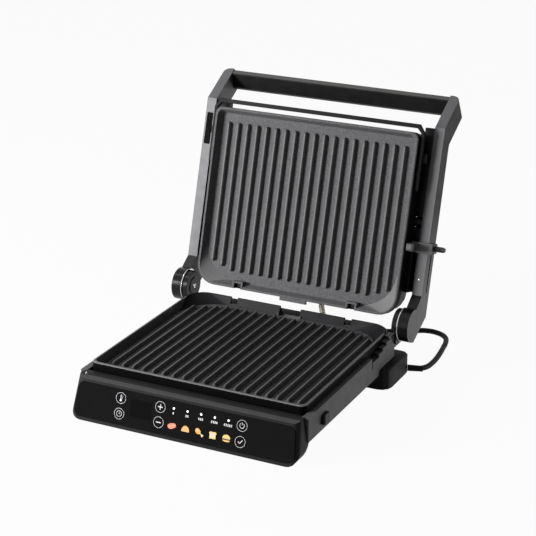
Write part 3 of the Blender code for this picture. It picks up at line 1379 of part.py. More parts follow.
def pivot_pin(side):
    """Return the pin that carries the head, from an arm's inner face into the cover."""
    root, end = COVER_HALF_WIDTH - PIVOT_DEPTH, ARM_INNER - GAP
    profile = [(side * root, PIVOT_RADIUS), (side * end, PIVOT_RADIUS)]
    return turned(profile, "x", lid_point(PIVOT_REACH, PIVOT_H), SMALL_TURN_STEPS)


def rail_shape():
    """Return the guard rail round the handle end of the head."""
    leg = RAIL_OUTER - RAIL_INNER
    bar = RAIL_BAR_FAR - RAIL_BAR_NEAR
    outer = [
        (RAIL_OUTER, -RAIL_NEAR), (RAIL_OUTER, -RAIL_BAR_FAR + RAIL_CHAMFER + bar / 2),
        (RAIL_OUTER - RAIL_CHAMFER, -RAIL_BAR_FAR),
    ]
    inner = [
        (RAIL_INNER, -RAIL_NEAR), (RAIL_INNER, -RAIL_BAR_NEAR + RAIL_CHAMFER - leg / 2),
        (RAIL_INNER - RAIL_CHAMFER + leg / 2, -RAIL_BAR_NEAR),
    ]
    outline = [*outer, *[(-x, y) for x, y in reversed(outer)], *[(-x, y) for x, y in inner], *reversed(inner)]
    return prism(outline, RAIL_LOW, RAIL_HIGH)


def upper_button_shape(side):
    """Return a release button of the upper plate, over the guard rail and through the cover."""
    near = UPPER_BUTTON_INNER
    far = RAIL_OUTER + UPPER_BUTTON_PROUD

    def ring(x, inset):
        front, rear = -UPPER_BUTTON_FAR + inset, -UPPER_BUTTON_NEAR - inset
        low, high = UPPER_BUTTON_LOW + inset, UPPER_BUTTON_HIGH - inset
        corners = [(front, low), (rear, low), (rear, high), (front, high)]
        return [(side * x, a, b) for a, b in fillet(corners, BUTTON_RADIUS)]

    return loft([ring(near, 0), ring(far - BUTTON_EDGE, 0), ring(far, BUTTON_EDGE)])


# Height slider


def strap_top():
    """Return the height of the strap's top, clear of the arm at the near end of its travel."""
    return face_height(SLIDER_REACH - STRAP_HALF_LENGTH - SLIDER_TRAVEL) - GAP


def strap_shape():
    """Return the slider's strap over the arm's under face, with the foot that meets the steps."""
    top = strap_top()
    low = top - STRAP_THICKNESS
    y = (-SLIDER_REACH - STRAP_HALF_LENGTH, -SLIDER_REACH + STRAP_HALF_LENGTH)
    strap = block((STRAP_INNER, ARM_OUTER + GAP + HOUSING_THICKNESS), y, (low, top))
    foot = prism(fillet([
        (-SLIDER_REACH - SLIDER_FOOT_HALF, top - EMBED), (-SLIDER_REACH - SLIDER_FOOT_HALF, SLIDER_FOOT_LOW),
        (-SLIDER_REACH + SLIDER_FOOT_HALF, SLIDER_FOOT_LOW), (-SLIDER_REACH + SLIDER_FOOT_HALF, top - EMBED),
    ], [0, SLIDER_FOOT_TOE, SLIDER_FOOT_TOE, 0]), STRAP_INNER + EMBED / 2, SLIDER_FOOT_OUTER, "x")
    return combine(strap, joins=[foot])


def housing_block_shape():
    """Return the slider's housing on the arm's outer face, with the tongue in the slot."""
    low = strap_top() + GAP
    half = STRAP_HALF_LENGTH - EMBED / 2
    corners = [
        (-SLIDER_REACH - half, low), (-SLIDER_REACH + half, low),
        (-SLIDER_REACH + half, HOUSING_TOP), (-SLIDER_REACH - half, HOUSING_TOP),
    ]
    near = ARM_OUTER + GAP
    body = prism(fillet(corners, [0, 0, HOUSING_RADIUS, HOUSING_RADIUS]), near, near + HOUSING_THICKNESS, "x")
    narrow = SLOT_HALF_WIDTH - GAP
    tongue = block(
        (ARM_OUTER - TONGUE_DEPTH, near + EMBED),
        (-SLIDER_REACH - TONGUE_HALF_LENGTH, -SLIDER_REACH + TONGUE_HALF_LENGTH),
        (SLOT_H - narrow, SLOT_H + narrow),
    )
    return combine(body, joins=[tongue])


def knob_shape():
    """Return the slider's round-nosed knob."""
    near = ARM_OUTER + GAP + HOUSING_THICKNESS + GAP
    nose = KNOB_RADIUS
    profile = [(near, KNOB_RADIUS)]
    root = near + KNOB_LENGTH - nose
    profile += [(root + share * nose, size * KNOB_RADIUS) for share, size in KNOB_NOSE_SHARES]
    return turned(profile, "x", lid_point(SLIDER_REACH, KNOB_H), SMALL_TURN_STEPS)


# Leads


def lid_to_base(x, reach, height):
    """Return the open-pose place of a point in the hinge's frame."""
    turn = Matrix.Rotation(LID_ANGLE, 3, "X")
    return Vector((0, HINGE_Y, HINGE_Z)) + turn @ Vector((x, -reach, height))


def conduit_path():
    """Return the armoured lead from the head's hinge wall to the rear wall."""
    start = lid_to_base(CONDUIT_X, COVER_NEAR - GAP, CONDUIT_H)
    after = lid_to_base(CONDUIT_X, COVER_NEAR - GAP - CONDUIT_STRAIGHT, CONDUIT_H)
    end = Vector((CONDUIT_BASE_X, WALL_REAR + GAP, CONDUIT_BASE_Z))
    before = end + Vector((0, CONDUIT_STRAIGHT, 0))
    pull = CONDUIT_PULL / CONDUIT_STRAIGHT
    first, last = after + pull * (after - start), before + pull * (before - end)
    bent = bezier(after, first, last, before, CONDUIT_STEPS)
    return [start, *bent, end]


def bezier(a, b, c, d, steps):
    """Return points along a cubic curve."""
    points = []
    for k in range(steps + 1):
        t = k / steps
        points.append((1 - t) ** 3 * a + 3 * (1 - t) ** 2 * t * b + 3 * (1 - t) * t**2 * c + t**3 * d)
    return points


def coil_path():
    """Return the coil's centre line: in on the floor layer, out again on the upper one."""
    turns = COIL_TURNS
    count = round(turns * COIL_LOOP_POINTS)
    middle = turns / 2
    centre = Vector((COIL_X, COIL_Y, CORD_REST))
    points = []
    for k in range(count + 1):
        turn = turns * k / count
        radius = COIL_OUTER - COIL_PITCH * (middle - abs(turn - middle))
        climb = min(max((turn - middle) / COIL_CLIMB_TURNS + 0.5, 0), 1)
        rise = COIL_LAYER * climb * climb * (3 - 2 * climb)
        angle = math.tau * (turn + 0.25)
        points.append(centre + Vector((radius * math.cos(angle), radius * math.sin(angle), rise)))
    lead_in = points[0] + Vector((CORD_STRAIGHT, 0, 0))
    lead_out = points[-1] + Vector((CORD_STRAIGHT, 0, 0))
    return [lead_in, *points, lead_out]


def self_gap(points, radius):
    """Return the least gap between parts of a tube more than a bend apart."""
    apart = round(COIL_LOOP_POINTS / 3)
    least = min(
        segment_distance(points[i], points[i + 1], points[j], points[j + 1])
        for i in range(len(points) - 1) for j in range(i + apart, len(points) - 1)
    )
    return least - 2 * radius


def segment_distance(a, b, c, d):
    """Return the least distance between two short segments, by sampling."""
    shares = [i / GAP_SAMPLES for i in range(GAP_SAMPLES + 1)]
    ones = [a.lerp(b, share) for share in shares]
    others = [c.lerp(d, share) for share in shares]
    return min((p - q).length for p in ones for q in others)


def cord_path():
    """Return the free run of the cord from the gland to the coil."""
    start = BLOCK_CORNER + EXIT_DIRECTION * (BLOCK_REAR_RADIUS + GAP)
    straight = start + EXIT_DIRECTION * CORD_STRAIGHT
    coil_start = coil_path()[0]
    end = coil_start + Vector((GAP, 0, 0))
    before = end + Vector((CORD_STRAIGHT, 0, 0))
    return [start, *smooth_path([straight, *ROUTE, before], CORD_STEP), end]


def tail_path():
    """Return the short run from the coil to the plug's strain relief."""
    start = coil_path()[-1] + Vector((GAP, 0, 0))
    end = Vector((PLUG_RELIEF_X - GAP, PLUG_Y, PLUG_RADIUS))
    straight = Vector((CORD_STRAIGHT / 2, 0, 0))
    first, last = start + straight, end - straight
    reach = Vector(((last.x - first.x) / 2, 0, 0))
    return [start, *bezier(first, first + reach, last - reach, last, 2 * CORNER_STEPS), end]


def path_length(points):
    """Return the length of a polyline."""
    return sum((Vector(q) - Vector(p)).length for p, q in zip(points, points[1:]))


def plug_shape():
    """Return the plug's moulded body with its tapered strain relief."""
    root = PLUG_RELIEF_X + PLUG_RELIEF_LENGTH
    profile = [(PLUG_RELIEF_X, PLUG_RELIEF_RADIUS), (root - EMBED, PLUG_RELIEF_ROOT)]
    profile += [(root + share * PLUG_LENGTH, size * PLUG_RADIUS) for share, size in PLUG_SHAPE_SHARES]
    return turned(profile, "x", (PLUG_Y, PLUG_RADIUS), TURN_STEPS - 4)


def plug_pin(side):
    """Return one round pin of the plug."""
    near = PLUG_RELIEF_X + PLUG_RELIEF_LENGTH + PLUG_LENGTH + GAP
    far = near + PLUG_PIN_LENGTH
    profile = [(near, PLUG_PIN_RADIUS), (far - PLUG_PIN_TIP, PLUG_PIN_RADIUS), (far, PLUG_PIN_RADIUS / 2)]
    return turned(profile, "x", (PLUG_Y + side * PIN_SPACING / 2, PLUG_RADIUS), PLUG_PIN_SIDES)


# Assembly


def build_base(root):
    """Make the pieces that stay with the base."""
    grey = (0.16, 0.15, 0.145)
    black = (0.018, 0.018, 0.02)
    place("side_frame", side_frame_shape(), finish("satin_grey", grey, 0.42, 0.35), root)
    place("step_rack", step_rack_shape(), finish("rack_black", (0.03, 0.03, 0.03), 0.5), root)
    place("lower_housing", housing_shape(), finish("housing_black", (0.022, 0.022, 0.024), 0.45), root)
    for name, centre in foot_places().items():
        place("foot_" + name, foot_shape(centre), finish("rubber_" + name, (0.012, 0.012, 0.012), 0.8), root)
    place("front_fascia", fascia_shape(), finish("fascia_black", (0.035, 0.034, 0.036), 0.35, 0.2), root)
    glass = face_solid(
        GLASS_MARGIN, GLASS_MARGIN, GLASS_TOP_MARGIN, GLASS_RADIUS, -GLASS_THICKNESS + GAP, GLASS_PROUD,
    )
    place("touch_glass", glass, finish("glass_black", (0.008, 0.008, 0.009), 0.06), root)
    depth = GLASS_THICKNESS + GAP
    board = face_solid(BOARD_SIDE_MARGIN, BOARD_MARGIN, BOARD_MARGIN, 0, -depth - BOARD_THICKNESS, -depth)
    place("display_board", board, finish("board_green", (0.02, 0.12, 0.05), 0.5), root)
    place("power_board", power_board_shape(), finish("relay_board", (0.03, 0.1, 0.05), 0.5), root)
    place("terminal_block", terminal_shape(), finish("terminal_cream", (0.7, 0.68, 0.6), 0.5), root)
    place("lower_plate", lower_plate_shape(), finish("plate_coating", (0.025, 0.025, 0.027), 0.38, 0.1), root)
    level = LOWER_BACK - GAP - ELEMENT_RADIUS
    wire("lower_element", element_path(LOWER_FRONT, LOWER_REAR, level), ELEMENT_RADIUS, 1,
         finish("element_steel", (0.3, 0.28, 0.26), 0.4, 0.9), root)
    front, rear = FASCIA_REAR + 2 * GAP, WALL_REAR - WALL_SKIN - GAP
    tray = reflector_shape(WALL_INNER - GAP, front, rear, LEDGE_TOP + GAP, REFLECTOR_DEPTH)
    place("lower_reflector", tray, finish("reflector_alloy", (0.6, 0.6, 0.6), 0.3, 1), root)
    middle = (LOWER_FRONT + LOWER_REAR) / 2
    place("lower_thermostat", thermostat_shape(0, middle, LOWER_BACK - GAP, -1),
          finish("thermostat_white", (0.7, 0.7, 0.68), 0.4), root)
    along = (LOWER_BUTTON_FRONT + LOWER_BUTTON_REAR) / 2
    level = (LOWER_BUTTON_BOTTOM + LOWER_BUTTON_TOP) / 2
    for side, word in ((1, "right"), (-1, "left")):
        origin = (side * WALL_OUTER, along, level)
        button = finish("button_" + word, black, 0.4)
        place("lower_release_" + word, lower_button_shape(side), button, root, origin)
        place("hinge_ear_" + word, ear_shape(side), finish("ear_" + word, black, 0.25), root)
        steel = finish("pin_steel_" + word, (0.5, 0.5, 0.5), 0.3, 1)
        place("hinge_pin_" + word, hinge_pin(side), steel, root)
        place("cup_rail_" + word, cup_rail(side), finish("rail_" + word, black, 0.5), root)
    place("drip_cup", cup_shape(), finish("cup_black", (0.03, 0.03, 0.032), 0.4), root)


def build_lid(hinge):
    """Make the arms, the handle and the slider in the hinge's frame."""
    satin = (0.15, 0.14, 0.135)
    for side, word in ((1, "right"), (-1, "left")):
        place("arm_" + word, arm_shape(side), finish("arm_satin_" + word, satin, 0.4, 0.4), hinge)
        chrome = finish("ring_chrome_" + word, (0.8, 0.8, 0.8), 0.12, 1)
        place("hinge_ring_" + word, ring_shape(side), chrome, hinge)
        place("head_pivot_" + word, pivot_pin(side), finish("pivot_" + word, (0.4, 0.4, 0.4), 0.35, 1), hinge)
    place("handle_bar", handle_shape(), finish("handle_brown_black", (0.03, 0.027, 0.025), 0.4), hinge)
    place("arm_window", window_solid(0, 0), finish("window_black", (0.01, 0.01, 0.012), 0.1), hinge)
    rest = (ARM_OUTER, -SLIDER_REACH, SLOT_H)
    place("slider_strap", strap_shape(), finish("strap_steel", (0.42, 0.41, 0.4), 0.3, 0.9), hinge, rest)
    black = finish("slider_black", (0.04, 0.038, 0.036), 0.4)
    place("slider_housing", housing_block_shape(), black, hinge, rest)
    place("slider_knob", knob_shape(), finish("knob_steel", (0.4, 0.39, 0.38), 0.3, 0.8), hinge, rest)


def build_head(hinge):
    """Make the tilting head, its origin on the pivots."""
    pivot = (0, *lid_point(PIVOT_REACH, PIVOT_H))
    place("head_cover", cover_shape(), finish("cover_black", (0.03, 0.03, 0.032), 0.35), hinge, pivot)
    place("head_rail", rail_shape(), finish("rail_satin", (0.1, 0.095, 0.09), 0.4, 0.3), hinge, pivot)
    coating = finish("upper_coating", (0.05, 0.05, 0.054), 0.38, 0.1)
    place("upper_plate", upper_plate_shape(), coating, hinge, pivot)
    level = UPPER_BACK + GAP
    path = element_path(-UPPER_FAR, -UPPER_NEAR, level + ELEMENT_RADIUS)
    loop = wire("upper_element", path, ELEMENT_RADIUS, 1,
                finish("upper_element_steel", (0.3, 0.28, 0.26), 0.4, 0.9), hinge)
    loop.location = (0, 0, 0)
    inset = COVER_SHELL + REFLECTOR_CLEARANCE
    far, near = -COVER_FAR + inset, -COVER_NEAR - inset
    tray = reflector_shape(COVER_HALF_WIDTH - inset, far, near, level + REFLECTOR_SHEET, -REFLECTOR_DEPTH)
    place("upper_reflector", tray, finish("upper_reflector_alloy", (0.6, 0.6, 0.6), 0.3, 1), hinge, pivot)
    middle = -(UPPER_FAR + UPPER_NEAR) / 2
    white = finish("upper_thermostat_white", (0.7, 0.7, 0.68), 0.4)
    place("upper_thermostat", thermostat_shape(0, middle, level, 1), white, hinge, pivot)
    along = -(UPPER_BUTTON_NEAR + UPPER_BUTTON_FAR) / 2
    height = (UPPER_BUTTON_LOW + UPPER_BUTTON_HIGH) / 2
    for side, word in ((1, "right"), (-1, "left")):
        origin = (side * RAIL_OUTER, along, height)
        black = finish("upper_button_" + word, (0.05, 0.048, 0.046), 0.4)
        place("upper_release_" + word, upper_button_shape(side), black, hinge, origin)


def build_leads(root):
    """Make the armoured lead, the mains cord, its coil and its plug; return the cord's pieces."""
    steel = finish("braid_steel", (0.5, 0.47, 0.42), 0.4, 0.9)
    wire("braided_conduit", conduit_path(), CONDUIT_RADIUS, 2, steel, root)
    jacket = (0.015, 0.015, 0.016)
    gland = gland_cylinder(GLAND_RADIUS, BLOCK_REAR_RADIUS - GLAND_DEPTH, BLOCK_REAR_RADIUS)
    return [
        place("cord_gland", gland, finish("gland_black", jacket, 0.6), root),
        wire("mains_cord", cord_path(), CORD_RADIUS, 2, finish("cord_black", jacket, 0.55), root),
        wire("cord_coil", coil_path(), CORD_RADIUS, 1, finish("coil_black", jacket, 0.55), root),
        wire("cord_tail", tail_path(), CORD_RADIUS, 2, finish("tail_black", jacket, 0.55), root),
        place("plug_body", plug_shape(), finish("plug_black", jacket, 0.5), root),
        place("plug_pin_rear", plug_pin(1), finish("plug_brass_rear", (0.6, 0.55, 0.4), 0.3, 1), root),
        place("plug_pin_front", plug_pin(-1), finish("plug_brass_front", (0.6, 0.55, 0.4), 0.3, 1), root),
    ]


def centre_on_floor(root, leads):
    """Move the whole part so that its box, without the cord's pieces, stands centred on the origin."""
    bpy.context.view_layer.update()
    corners = [obj.matrix_world @ Vector(corner)
               for obj in bpy.data.objects if obj.type in {"MESH", "CURVE"} and obj not in leads
               for corner in tight_corners(obj)]
    low = [min(c[i] for c in corners) for i in range(3)]
    high = [max(c[i] for c in corners) for i in range(3)]
    root.location = (-(low[0] + high[0]) / 2, -(low[1] + high[1]) / 2, -low[2])
    bpy.context.view_layer.update()
    return root.location.copy(), Vector(high) - Vector(low)


def tight_corners(obj):
    """Return the points that bound an object as it is evaluated."""
    made = obj.evaluated_get(bpy.context.evaluated_depsgraph_get()).to_mesh()
    return [tuple(v.co) for v in made.vertices]


def main():
    """Build the grill and print what a reader of the design needs to know."""
    clear_scene()
    root = empty("grill", (0, 0, 0))
    hinge = empty("lid_hinge_axis", (0, HINGE_Y, HINGE_Z), root, LID_ANGLE)
    build_base(root)
    build_lid(hinge)
    build_head(hinge)
    leads = build_leads(root)
    shift, size = centre_on_floor(root, leads)
    pivot = hinge.matrix_world @ Vector((0, *lid_point(PIVOT_REACH, PIVOT_H)))
    slider = hinge.matrix_world @ Vector((ARM_OUTER, -SLIDER_REACH, SLOT_H))
    way = hinge.matrix_world.to_3x3() @ Vector((0, -1, 0))
    axis = hinge.matrix_world.translation
    print("shift", [round(v, 5) for v in shift], "size", [round(v, 4) for v in size])
    print("hinge", [round(v, 5) for v in axis], "pivot", [round(v, 5) for v in pivot])
    print("slider", [round(v, 5) for v in slider], "slide way", [round(v, 5) for v in way])
    length = path_length(cord_path()) + path_length(coil_path()) + path_length(tail_path())
    print("cord length", round(length, 4), "coil gap to itself", round(self_gap(coil_path(), CORD_RADIUS), 5))


main()
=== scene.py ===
"""Looks of the countertop contact grill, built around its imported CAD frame.

Every piece is in metres in the frame of the CAD.  Places on the grill are
written in the designer's own datum, whose origin is the middle of the first
rib's front end at floor level, and are moved by DATUM.  Places on the lid are
written as a reach from the hinge towards the handle and a height away from the
food, as the lid's own drawings have them.
"""

from __future__ import annotations

import json
import logging
import math
from collections.abc import Callable, Sequence
from dataclasses import dataclass, field
from enum import Enum

import bmesh
import bpy
from mathutils import Matrix, Vector

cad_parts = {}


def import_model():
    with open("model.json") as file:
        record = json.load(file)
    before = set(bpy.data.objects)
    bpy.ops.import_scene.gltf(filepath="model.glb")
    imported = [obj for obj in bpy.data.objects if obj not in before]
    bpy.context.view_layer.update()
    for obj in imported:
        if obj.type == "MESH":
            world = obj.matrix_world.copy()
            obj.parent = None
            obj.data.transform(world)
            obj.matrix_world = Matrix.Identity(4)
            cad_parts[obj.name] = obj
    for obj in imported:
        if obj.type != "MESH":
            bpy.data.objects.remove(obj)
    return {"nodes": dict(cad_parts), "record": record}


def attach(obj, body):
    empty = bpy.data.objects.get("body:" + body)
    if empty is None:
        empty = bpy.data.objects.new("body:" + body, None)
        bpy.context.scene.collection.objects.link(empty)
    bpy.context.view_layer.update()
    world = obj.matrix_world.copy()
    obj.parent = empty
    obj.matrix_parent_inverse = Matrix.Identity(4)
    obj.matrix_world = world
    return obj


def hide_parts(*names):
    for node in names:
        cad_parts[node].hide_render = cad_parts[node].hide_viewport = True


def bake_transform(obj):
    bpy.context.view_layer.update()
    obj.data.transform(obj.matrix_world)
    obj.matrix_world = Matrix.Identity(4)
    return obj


LOG = logging.getLogger("grill")

MM = 0.001
DEG = math.pi / 180
DATUM = Vector((-9.65, -170.96, 0)) * MM
HINGE = Vector((0, 246.3, 65.3)) * MM
LID_ANGLE = -106 * DEG

Point = tuple[float, float, float]
Colour = tuple[float, float, float]


def on_base(x: float, y: float, z: float) -> Vector:
    """Return the world place of a point of the base.

    Args:
        x: Distance to the user's right of the middle, in metres.
        y: Distance to the rear of the datum, in metres.
        z: Height over the floor, in metres.

    Returns:
        The place in the frame of the CAD.
    """
    return DATUM + Vector((x, y, z))


def on_lid(x: float, reach: float, height: float) -> Vector:
    """Return the world place of a point of the open lid.

    Args:
        x: Distance to the user's right of the middle, in metres.
        reach: Distance from the hinge towards the handle, in metres.
        height: Distance away from the food, in metres.

    Returns:
        The place in the frame of the CAD.
    """
    turn = Matrix.Rotation(LID_ANGLE, 3, "X")
    return DATUM + HINGE + turn @ Vector((x, -reach, height))


def lid_matrix() -> Matrix:
    """Return the matrix that takes lid coordinates (x, -reach, height) to the world."""
    return Matrix.Translation(DATUM + HINGE) @ Matrix.Rotation(LID_ANGLE, 4, "X")


class Grain(Enum):
    """How the surface of a finish is broken up."""

    MOULDED = "fine spark-eroded grain of a moulding"
    SPRAYED = "orange peel of a sprayed coat"
    SPECKLED = "speckle of a non-stick coating"
    BRUSHED = "fine lines of brushed or ground metal"
    POLISHED = "faint handling marks on a polished face"
    PRINTED = "thin ink film"


@dataclass(frozen=True)
class Finish:
    """One surface finish, made as a procedural material.

    Attributes:
        name: The material's name.
        colour: Linear base colour.
        roughness: Mean roughness.
        metallic: Metallic share.
        specular: Specular level of the shader.
        grain: How the surface is broken up.
        grain_size: Size of the grain in metres.
        grain_depth: Height of the grain in metres.
        mottle: Share by which the colour varies over the surface.
        roughness_spread: How far the roughness varies over the surface.
        stretch: Scale of the grain along X, Y and Z.
        coat: Weight of a clear coat.
        glow: Strength at which the finish lights itself.
        fade: Height from which the colour darkens, height at which it stops, and the share that stays there; painted
            shade in part.
    """

    name: str
    colour: Colour
    roughness: float = 0.45
    metallic: float = 0.0
    specular: float = 0.5
    grain: Grain = Grain.MOULDED
    grain_size: float = 0.6 * MM
    grain_depth: float = 0.02 * MM
    mottle: float = 0.08
    roughness_spread: float = 0.06
    stretch: Point = (1.0, 1.0, 1.0)
    coat: float = 0.0
    glow: float = 0.0
    fade: tuple[float, float, float] | None = None

    def build(self) -> bpy.types.Material:
        """Make the material at its first use and share it afterwards.

        Returns:
            The material.
        """
        known = bpy.data.materials.get(self.name)
        if known:
            return known
        made = bpy.data.materials.new(self.name)
        made.use_nodes = True
        made.diffuse_color = (*self.colour, 1)
        tree = made.node_tree
        shader = tree.nodes["Principled BSDF"]
        shader.inputs["Metallic"].default_value = self.metallic
        shader.inputs["Specular IOR Level"].default_value = self.specular
        shader.inputs["Coat Weight"].default_value = self.coat
        if self.glow:
            shader.inputs["Emission Color"].default_value = (*self.colour, 1)
            shader.inputs["Emission Strength"].default_value = self.glow
        place = tree.nodes.new("ShaderNodeTexCoord").outputs["Object"]
        self._paint(tree, shader, place)
        self._roughen(tree, shader, place)
        self._emboss(tree, shader, place)
        return made

    def _noise(self, tree: bpy.types.NodeTree, place: bpy.types.NodeSocket, size: float, detail: float,
               stretch: Point = (1.0, 1.0, 1.0)) -> bpy.types.NodeSocket:
        """Return the value of a noise.

        Args:
            tree: The material's nodes.
            place: The coordinates.
            size: Size of the noise's cells in metres.
            detail: Octaves of finer noise.
            stretch: Scale along each axis.

        Returns:
            The socket of the noise's value.
        """
        mapping = tree.nodes.new("ShaderNodeMapping")
        mapping.inputs["Scale"].default_value = stretch
        tree.links.new(place, mapping.inputs["Vector"])
        noise = tree.nodes.new("ShaderNodeTexNoise")
        noise.inputs["Scale"].default_value = 1 / size
        noise.inputs["Detail"].default_value = detail
        tree.links.new(mapping.outputs["Vector"], noise.inputs["Vector"])
        return noise.outputs["Fac"]

    def _spread(self, tree: bpy.types.NodeTree, value: bpy.types.NodeSocket, low: float,
                high: float) -> bpy.types.NodeSocket:
        """Return a noise value mapped to a range.

        Args:
            tree: The material's nodes.
            value: The socket of the noise.
            low: Value where the noise is low.
            high: Value where the noise is high.

        Returns:
            The socket of the mapped value.
        """
        mapped = tree.nodes.new("ShaderNodeMapRange")
        mapped.inputs["From Min"].default_value = NOISE_LOW
        mapped.inputs["From Max"].default_value = NOISE_HIGH
        mapped.inputs["To Min"].default_value = low
        mapped.inputs["To Max"].default_value = high
        tree.links.new(value, mapped.inputs["Value"])
        return mapped.outputs["Result"]

    def _paint(self, tree: bpy.types.NodeTree, shader: bpy.types.Node, place: bpy.types.NodeSocket) -> None:
        """Vary the base colour over the surface.

        Args:
            tree: The material's nodes.
            shader: The material's shader.
            place: The coordinates.
        """
        size = self.grain_size if self.grain in (Grain.SPECKLED, Grain.BRUSHED) else MOTTLE_SIZE
        stretch = self.stretch if self.grain is Grain.BRUSHED else (1.0, 1.0, 1.0)
        value = self._noise(tree, place, size, 3, stretch)
        factor = self._spread(tree, value, 1 - self.mottle, 1 + self.mottle)
        if self.fade:
            factor = self._faded(tree, place, factor)
        tint = tree.nodes.new("ShaderNodeVectorMath")
        tint.operation = "SCALE"
        tint.inputs[0].default_value = self.colour
        tree.links.new(factor, tint.inputs["Scale"])
        tree.links.new(tint.outputs["Vector"], shader.inputs["Base Color"])

    def _faded(self, tree: bpy.types.NodeTree, place: bpy.types.NodeSocket,
               factor: bpy.types.NodeSocket) -> bpy.types.NodeSocket:
        """Darken a factor with the height over the floor, partly as painted shade.

        Args:
            tree: The material's nodes.
            place: The coordinates.
            factor: The socket of the factor.

        Returns:
            The socket of the darkened factor.
        """
        parts = tree.nodes.new("ShaderNodeSeparateXYZ")
        tree.links.new(place, parts.inputs["Vector"])
        drop = tree.nodes.new("ShaderNodeMapRange")
        drop.inputs["From Min"].default_value = self.fade[0]
        drop.inputs["From Max"].default_value = self.fade[1]
        drop.inputs["To Min"].default_value = 1.0
        drop.inputs["To Max"].default_value = self.fade[2]
        tree.links.new(parts.outputs["Z"], drop.inputs["Value"])
        times = tree.nodes.new("ShaderNodeMath")
        times.operation = "MULTIPLY"
        tree.links.new(factor, times.inputs[0])
        tree.links.new(drop.outputs["Result"], times.inputs[1])
        return times.outputs[0]

    def _roughen(self, tree: bpy.types.NodeTree, shader: bpy.types.Node, place: bpy.types.NodeSocket) -> None:
        """Vary the roughness over the surface.

        Args:
            tree: The material's nodes.
            shader: The material's shader.
            place: The coordinates.
        """
        value = self._noise(tree, place, SMUDGE_SIZE, 4)
        low = max(self.roughness - self.roughness_spread, 0.02)
        tree.links.new(self._spread(tree, value, low, self.roughness + self.roughness_spread),
                       shader.inputs["Roughness"])

    def _emboss(self, tree: bpy.types.NodeTree, shader: bpy.types.Node, place: bpy.types.NodeSocket) -> None:
        """Give the surface its grain.

        Args:
            tree: The material's nodes.
            shader: The material's shader.
            place: The coordinates.
        """
        if self.grain is Grain.SPECKLED:
            cells = tree.nodes.new("ShaderNodeTexVoronoi")
            cells.inputs["Scale"].default_value = 1 / self.grain_size
            tree.links.new(place, cells.inputs["Vector"])
            height = cells.outputs["Distance"]
        else:
            height = self._noise(tree, place, self.grain_size, 2, self.stretch)
        bump = tree.nodes.new("ShaderNodeBump")
        bump.inputs["Strength"].default_value = 1.0
        bump.inputs["Distance"].default_value = self.grain_depth
        tree.links.new(height, bump.inputs["Height"])
        tree.links.new(bump.outputs["Normal"], shader.inputs["Normal"])


FLAT_ANGLE = 0.5 * DEG
NOISE_LOW = 0.3
NOISE_HIGH = 0.7
MOTTLE_SIZE = 18 * MM
SMUDGE_SIZE = 12 * MM


